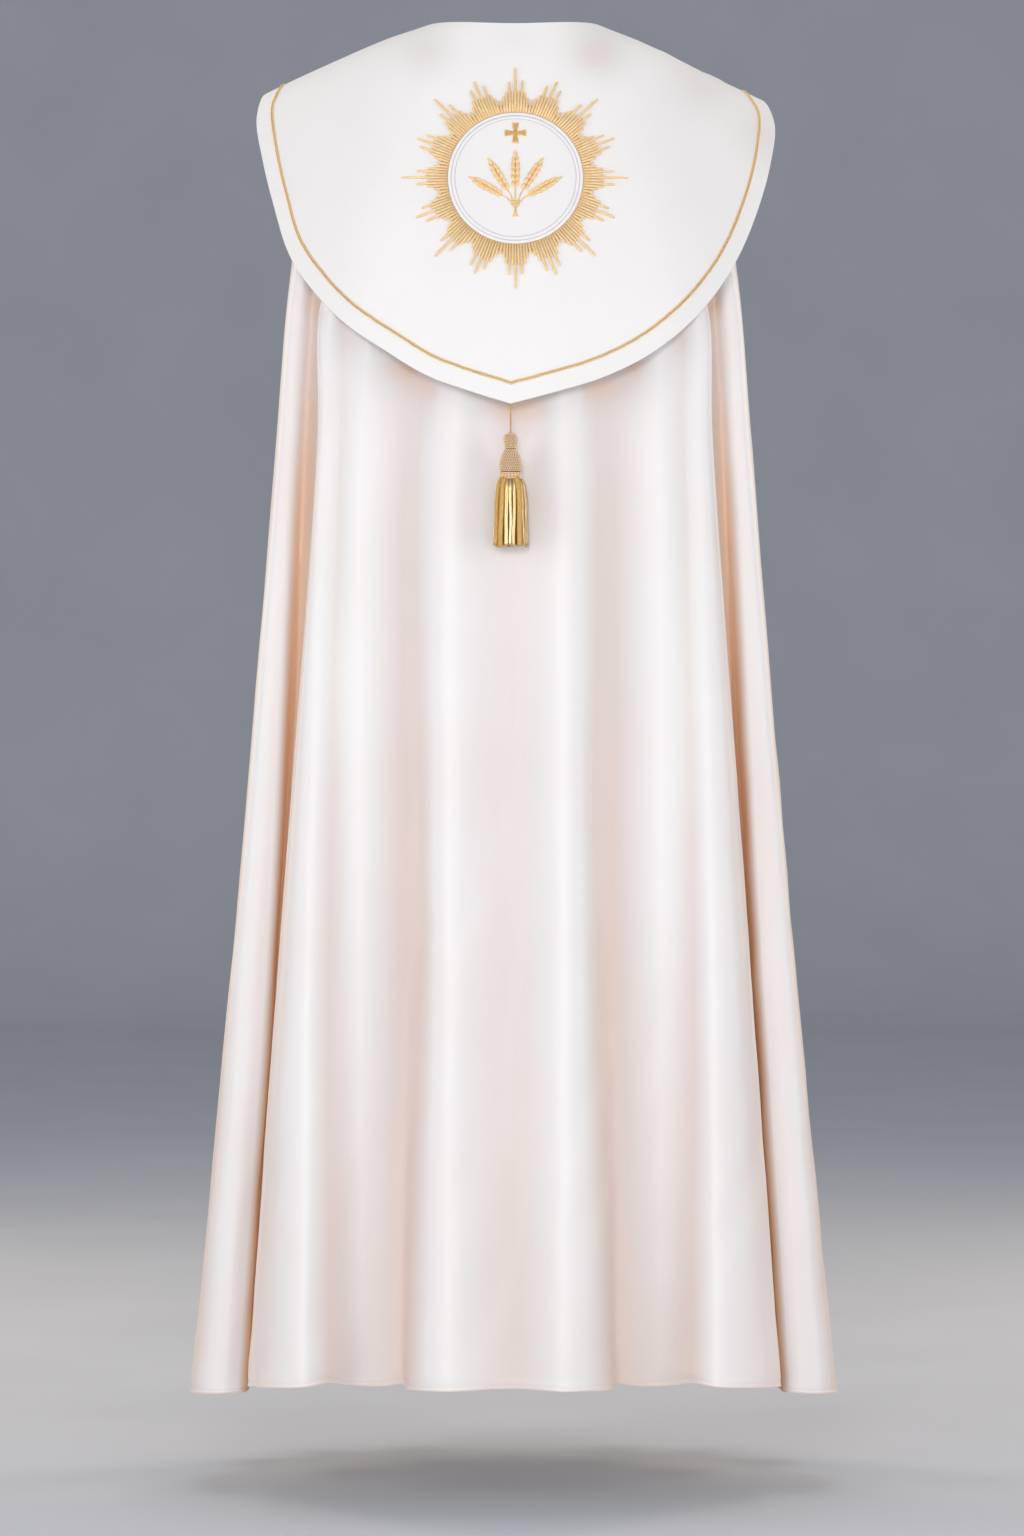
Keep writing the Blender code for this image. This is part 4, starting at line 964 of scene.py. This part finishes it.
def knotted_core(name, profile, segments=28):
    """A turned core covered in rows of small slanted knots, each row slanting the other way."""
    outline = np.array([(r, 0.0, z) for r, z in profile])[:, None]
    fine = smooth_through(outline, even_places([8] * (len(profile) - 1)))[:, 0]
    lengths = run_lengths(fine)
    top, bottom = fine[[0, -1], 2]
    bpy.ops.object.select_all(action="DESELECT")
    bpy.ops.mesh.primitive_cylinder_add(
        vertices=segments, radius=1, depth=top - bottom, location=(CORD_X, CORD_Y, (top + bottom) / 2)
    )
    core = bpy.context.active_object
    core.name = core.data.name = name
    bpy.ops.object.transform_apply(location=True, rotation=True, scale=True)
    for z in fine[1:-1:2, 2]:
        bpy.ops.object.mode_set(mode="EDIT")
        bpy.ops.mesh.select_all(action="SELECT")
        bpy.ops.mesh.bisect(plane_co=(0, 0, z), plane_no=(0, 0, 1))
        bpy.ops.object.mode_set(mode="OBJECT")
    for vert in core.data.vertices:
        radius = np.interp(-vert.co.z, -fine[:, 2], fine[:, 0]) - 0.0002
        vert.co.x = CORD_X + (vert.co.x - CORD_X) * radius
        vert.co.y = CORD_Y + (vert.co.y - CORD_Y) * radius
    core.data.shade_smooth()
    bead, bead_faces = unit_knot()
    bead_uvs = bead[np.concatenate(bead_faces), :2] * 0.001
    parts = []
    for row, at in enumerate(np.arange(0.0006, lengths[-1] - 0.0004, KNOT_ROW)):
        radius, z = (np.interp(at, lengths, fine[:, k]) for k in (0, 2))
        down_way = np.array([np.interp(at + 0.0004, lengths, fine[:, k]) for k in (0, 2)]) - (radius, z)
        down_way /= np.linalg.norm(down_way)
        count = max(5, round(math.tau * radius / KNOT_SPACING))
        for k in range(count):
            turn = (k + 0.5 * (row % 2)) * math.tau / count
            outwards = np.array((math.cos(turn), math.sin(turn), 0))
            around = np.array((-math.sin(turn), math.cos(turn), 0))
            downwards = outwards * down_way[0] + np.array((0, 0, down_way[1]))
            off = np.cross(around, downwards)
            slant = math.radians(38 if row % 2 else -38)
            length_way = around * math.cos(slant) + downwards * math.sin(slant)
            width_way = np.cross(off, length_way)
            axes = (length_way * KNOT_LENGTH, width_way * KNOT_HALF_WIDTH, off * KNOT_HALF_WIDTH * 0.9)
            place = np.array((CORD_X, CORD_Y, z)) + outwards * radius
            parts.append((place + bead @ np.array(axes), bead_faces, bead_uvs))
    knots_made = add_mesh(name + "_knots", *together(parts))
    return core, knots_made


head_thread = thread("head_thread", HEAD_THREAD, HEAD_THREAD_DARK, 0.0006, 0.42, 0.25, 0.0002, 700.0)
# The core shows only in the gaps between the knots, and is painted dark as the shade there.
core_shade_thread = thread("core_shade_thread", (0.36, 0.20, 0.10), (0.24, 0.12, 0.05), 0.0006, 0.6, 0.0)
for part_name, profile in (("knob", KNOB), ("bulb", BULB)):
    core, knots_made = knotted_core("tassel_" + part_name + "_core", profile)
    put_on(core, core_shade_thread, "gold_thread")
    put_on(knots_made, head_thread, "gold_thread", "tassel_" + part_name)

bpy.ops.object.select_all(action="DESELECT")
for k in range(COLLAR_WRAPS):
    share = k / (COLLAR_WRAPS - 1)
    bpy.ops.mesh.primitive_torus_add(
        location=(CORD_X, CORD_Y, COLLAR_TOP + (COLLAR_BOTTOM - COLLAR_TOP) * share),
        rotation=(math.radians(1.5 - 3 * (k % 2)), 0, 0),
        major_radius=COLLAR_RADIUS - WRAP_RADIUS + 0.0006 * share,
        minor_radius=WRAP_RADIUS,
        major_segments=48,
        minor_segments=8,
    )
    wrap = bpy.context.active_object
    if k == 0:
        collar = wrap
    else:
        collar.select_set(True)
        bpy.context.view_layer.objects.active = collar
        bpy.ops.object.join()
collar.name = collar.data.name = "tassel_collar_wraps"
bpy.ops.object.transform_apply(location=True, rotation=True, scale=True)
collar.data.shade_smooth()
collar_light, collar_dark = (0.98, 0.71, 0.47), (0.66, 0.43, 0.24)
collar_thread = thread("collar_thread", collar_light, collar_dark, 0.05, 0.42, 0.2, 0.0002, 500.0)
put_on(collar, collar_thread, "gold_thread", "tassel_collar")


# Tassel skirt: bullion cords and flat gilt strips in turn, hung in two layers under the collar.
SKIRT_TOP = -0.4492
SKIRT_OUT = ((0.0, 0.0107), (0.07, 0.0142), (0.35, 0.0162), (1.0, 0.0180))  # share of the drop, radius
STRIP_HALF_WIDTH, STRIP_FLAT = 0.0021, 0.30
BULLION_RADIUS, BULLION_PITCH = 0.00118, 0.0052
# Round the tassel from the wearer's right: each strand's direction in degrees, its kind, its drop and how
# wide it is, as a share of its kind's width.
SKIRT_STRANDS = (
    (-3, "strip", 0.0705, 0.9), (-20, "strip", 0.0690, 0.85), (-36, "strip", 0.0708, 0.85),
    (-56, "bullion", 0.0704, 1.40), (-75, "strip", 0.0716, 0.95), (-91, "strip", 0.0706, 0.80),
    (-106, "strip", 0.0714, 1.05), (-125, "bullion", 0.0716, 1.30), (-148, "bullion", 0.0700, 1.15),
    (-168, "strip", 0.0688, 0.9), (172, "strip", 0.0700, 1.0), (148, "bullion", 0.0706, 1.0),
    (126, "strip", 0.0700, 1.0), (104, "bullion", 0.0706, 1.0), (82, "strip", 0.0704, 1.0),
    (62, "bullion", 0.0700, 1.0), (40, "strip", 0.0698, 1.0), (18, "bullion", 0.0708, 1.0),
)
CLOTH_SIDE_FLAT = 0.70  # the skirt is flattened where it hangs against the mantle

strip_parts, bullion_parts, inner_parts = [], [], []
skirt_random = np.random.default_rng(3)
for layer, drawn_in in enumerate((1.0, 0.72)):
    for direction, kind, drop, wide in SKIRT_STRANDS:
        turn = math.radians(direction + 9 * layer)
        share = np.linspace(0, 1, 26)
        radius = np.interp(share, [s[0] for s in SKIRT_OUT], [s[1] for s in SKIRT_OUT]) * drawn_in
        radius[1:-1] = (radius[:-2] + 2 * radius[1:-1] + radius[2:]) / 4
        sway = skirt_random.uniform(0.0003, 0.0009) * np.sin(share * skirt_random.uniform(4, 8) + direction)
        sway = sway * share + skirt_random.uniform(-0.0010, 0.0010) * share**2
        out = np.array((math.cos(turn), math.sin(turn), 0))
        around = np.array((-math.sin(turn), math.cos(turn), 0))
        squash = np.array((1, CLOTH_SIDE_FLAT if out[1] > 0 else 1, 1))
        line = (CORD_X, CORD_Y, SKIRT_TOP) + (out * radius[:, None] + around * sway[:, None]) * squash
        line[:, 2] -= share * (drop - 0.0015 * layer)
        if kind == "bullion" and layer == 0:
            thick = BULLION_RADIUS * wide
            bullion_parts += laid_up(line, thick, 3, BULLION_PITCH, sides=7, spread=1.05, step=0.0009)
        else:
            lean = skirt_random.uniform(-0.25, 0.25)
            facing = out * math.cos(lean) + around * math.sin(lean)
            width = STRIP_HALF_WIDTH * wide * skirt_random.uniform(0.92, 1.05)
            width = width * (0.55 + 0.45 * np.minimum(1, share * 9))
            (inner_parts if layer else strip_parts).append(strand(line, width, 8, STRIP_FLAT, up=facing))
strip_gilt, strip_tree, strip_shader = new_material("strip_gilt")
fibres = noise(strip_tree, "UV", (60, 4, 1))
strip_colour = colour_ramp(strip_tree, fibres, (0.3, (0.66, 0.43, 0.17)), (0.7, (0.92, 0.73, 0.42)))
colour_and_bump(strip_tree, strip_shader, strip_colour, fibres, 0.3, 0.0003)
strip_shader.inputs["Metallic"].default_value = 0.65
strip_shader.inputs["Roughness"].default_value = 0.27
put_on(add_mesh("tassel_skirt_strips", *together(strip_parts)), strip_gilt, "gold_thread", "tassel_skirt")
bullion_light, bullion_dark = (0.80, 0.50, 0.16), (0.38, 0.20, 0.04)
bullion_gold = thread("bullion_gold", bullion_light, bullion_dark, 0.0008, 0.34, 0.6, 0.0003, 500.0)
put_on(add_mesh("tassel_skirt_bullion", *together(bullion_parts)), bullion_gold, "gold_thread")
# The inner strips are painted a dark gold, as the shade inside the skirt: painted shade.
inner_shade_gold = thread("inner_shade_gold", (0.27, 0.16, 0.05), (0.20, 0.11, 0.03), 0.0012, 0.6, 0.2)
put_on(add_mesh("tassel_skirt_inner", *together(inner_parts)), inner_shade_gold, "gold_thread")


# Front tab: a plain doubled tab of the mantle's satin that holds the fronts together on the chest. It is
# sewn to the left front, and hooks on to the right one.
TAB_HALF_WIDTH, TAB_TOP_Z, TAB_BOTTOM_Z = 0.062, -0.135, -0.190
TAB_SEAT_X, TAB_WALL, TAB_LIFT = 0.038, 0.0028, 0.0042
TAB_RIM, TAB_CROWN, TAB_CROWN_WIDTH = 0.0009, 0.0006, 0.012
TAB_STITCH_INSET, TAB_STITCH_RADIUS, TAB_PRESS, TAB_PRESS_WIDTH = 0.005, 0.00028, 0.0006, 0.0015
TAB_ROWS = 40  # rows of the mantle that reach past the foot of the tab

half_columns = mantle.shape[1] // 2
front_trees = []
for half in (mantle[:TAB_ROWS, :half_columns], mantle[:TAB_ROWS, half_columns:]):
    front_trees.append(BVHTree.FromPolygons(half.reshape(-1, 3).tolist(), grid_faces(half).tolist()))


def tab_point(x, z):
    """A point of the tab's outer face: it lies on the fronts, and spans the gap between them."""
    seat_x = math.copysign(max(abs(x), TAB_SEAT_X), x)
    seat = front_trees[seat_x > 0].ray_cast(Vector((seat_x, 1.0, z)), Vector((0, -1, 0)))[0]
    edge = min(TAB_HALF_WIDTH - abs(x), TAB_TOP_Z - z, z - TAB_BOTTOM_Z)
    pressed = TAB_PRESS * math.exp(-(((edge - TAB_STITCH_INSET) / TAB_PRESS_WIDTH) ** 2))
    return (x, seat.y + TAB_LIFT + TAB_CROWN * min(1.0, edge / TAB_CROWN_WIDTH) - pressed, z)


tab_x = np.linspace(TAB_HALF_WIDTH, -TAB_HALF_WIDTH, 63)
tab_z = np.linspace(TAB_TOP_Z, TAB_BOTTOM_Z, 29)
tab = np.array([[tab_point(x, z) for x in tab_x] for z in tab_z])
tab_sheet = cloth_sheet("morse_tab_satin", tab, TAB_WALL, rim=TAB_RIM)
put_on(tab_sheet, satin_ivory, "satin", "morse_tab")
inset_x = TAB_HALF_WIDTH - TAB_STITCH_INSET
low_z, high_z = TAB_BOTTOM_Z + TAB_STITCH_INSET, TAB_TOP_Z - TAB_STITCH_INSET
corners = ((inset_x, high_z), (-inset_x, high_z), (-inset_x, low_z), (inset_x, low_z))
sides = zip(corners, corners[1:] + corners[:1], (40, 18, 40, 18))
tab_run = [tab_point(x, z) for start, end, count in sides for x, z in np.linspace(start, end, count)]
tab_stitches = stitches(np.array(tab_run), np.tile((0.0, 1.0, 0.0), (len(tab_run), 1)), TAB_STITCH_RADIUS)
put_on(add_mesh("morse_tab_stitches", *tab_stitches), stitch_ivory, "satin")


# Studio: a pale floor that sweeps up into the wall far behind, large soft boxes round the camera, softer
# ones at the sides and overhead, and a warm strip at each side behind.
FLOOR_Z, FLOOR_HALF_WIDTH, FLOOR_START = -1.535, 14.0, -11.0
SWEEP_START, SWEEP_RADIUS, WALL_TOP = 9.0, 2.0, 10.0

sweep = [(FLOOR_START, FLOOR_Z), (SWEEP_START, FLOOR_Z)]
for turn in np.radians(np.arange(6, 91, 6)):
    along, up = math.sin(turn), 1 - math.cos(turn)
    sweep.append((SWEEP_START + SWEEP_RADIUS * along, FLOOR_Z + SWEEP_RADIUS * up))
sweep.append((SWEEP_START + SWEEP_RADIUS, WALL_TOP))
floor_points = [(x, y, z) for y, z in sweep for x in (-FLOOR_HALF_WIDTH, FLOOR_HALF_WIDTH)]
floor_faces = [(2 * k, 2 * k + 1, 2 * k + 3, 2 * k + 2) for k in range(len(sweep) - 1)]
floor = add_mesh("floor", floor_points, floor_faces)
floor_paint, floor_tree, floor_shader = new_material("floor_paint")
specks = noise(floor_tree, "Object", (1, 1, 1), 3.0)
floor_colour = colour_ramp(floor_tree, specks, (0.3, (0.60, 0.63, 0.68)), (0.7, (0.63, 0.66, 0.71)))
floor_tree.links.new(floor_colour, floor_shader.inputs["Base Color"])
floor_shader.inputs["Roughness"].default_value = 0.8
floor.data.materials.append(floor_paint)

world = bpy.data.worlds.new("studio")
world.use_nodes = True
world.node_tree.nodes["Background"].inputs["Color"].default_value = (0.92, 0.94, 1.0, 1)
world.node_tree.nodes["Background"].inputs["Strength"].default_value = 0.34
bpy.context.scene.world = world
bpy.context.scene.view_settings.view_transform = "Standard"

# Each light: its place, what it points at, width, height, power in watts and colour.
LIGHTS = {
    "front_high": ((-0.5, -6.4, 0.5), (0, 0, -0.7), 1.4, 1.4, 98, (1.0, 0.985, 0.975)),
    "front_low": ((0, -6.4, -1.0), (0, 0, -0.8), 2.0, 1.6, 45, (1.0, 0.985, 0.975)),
    "box_left": ((-2.1, -6.0, -0.3), (0, 0, -0.8), 1.8, 3.2, 12, (1.0, 0.985, 0.975)),
    "box_right": ((2.1, -6.0, -0.3), (0, 0, -0.8), 1.8, 3.2, 22, (1.0, 0.985, 0.975)),
    "side_left": ((-3.6, -2.2, -0.2), (0, 0, -0.7), 1.4, 3.2, 54, (1.0, 0.985, 0.975)),
    "side_right": ((3.6, -2.2, -0.2), (0, 0, -0.7), 1.4, 3.2, 50, (1.0, 0.985, 0.975)),
    "top": ((0, 0.6, 3.0), (0, -0.1, 0), 2.4, 1.4, 30, (1.0, 0.985, 0.975)),
    "back_left": ((-2.6, 2.0, 0.2), (0, 0, -0.6), 0.7, 2.6, 34, (1.0, 0.80, 0.58)),
    "back_right": ((2.6, 2.0, 0.2), (0, 0, -0.6), 0.7, 2.6, 34, (1.0, 0.80, 0.58)),
}
for name, (place, target, width, height, power, colour) in LIGHTS.items():
    lamp = bpy.data.lights.new(name, "AREA")
    lamp.shape = "RECTANGLE"
    lamp.size, lamp.size_y = width, height
    lamp.energy = power
    lamp.color = colour
    light = bpy.data.objects.new(name, lamp)
    light.location = place
    light.rotation_euler = (Vector(target) - Vector(place)).to_track_quat("-Z", "Y").to_euler()
    bpy.context.collection.objects.link(light)
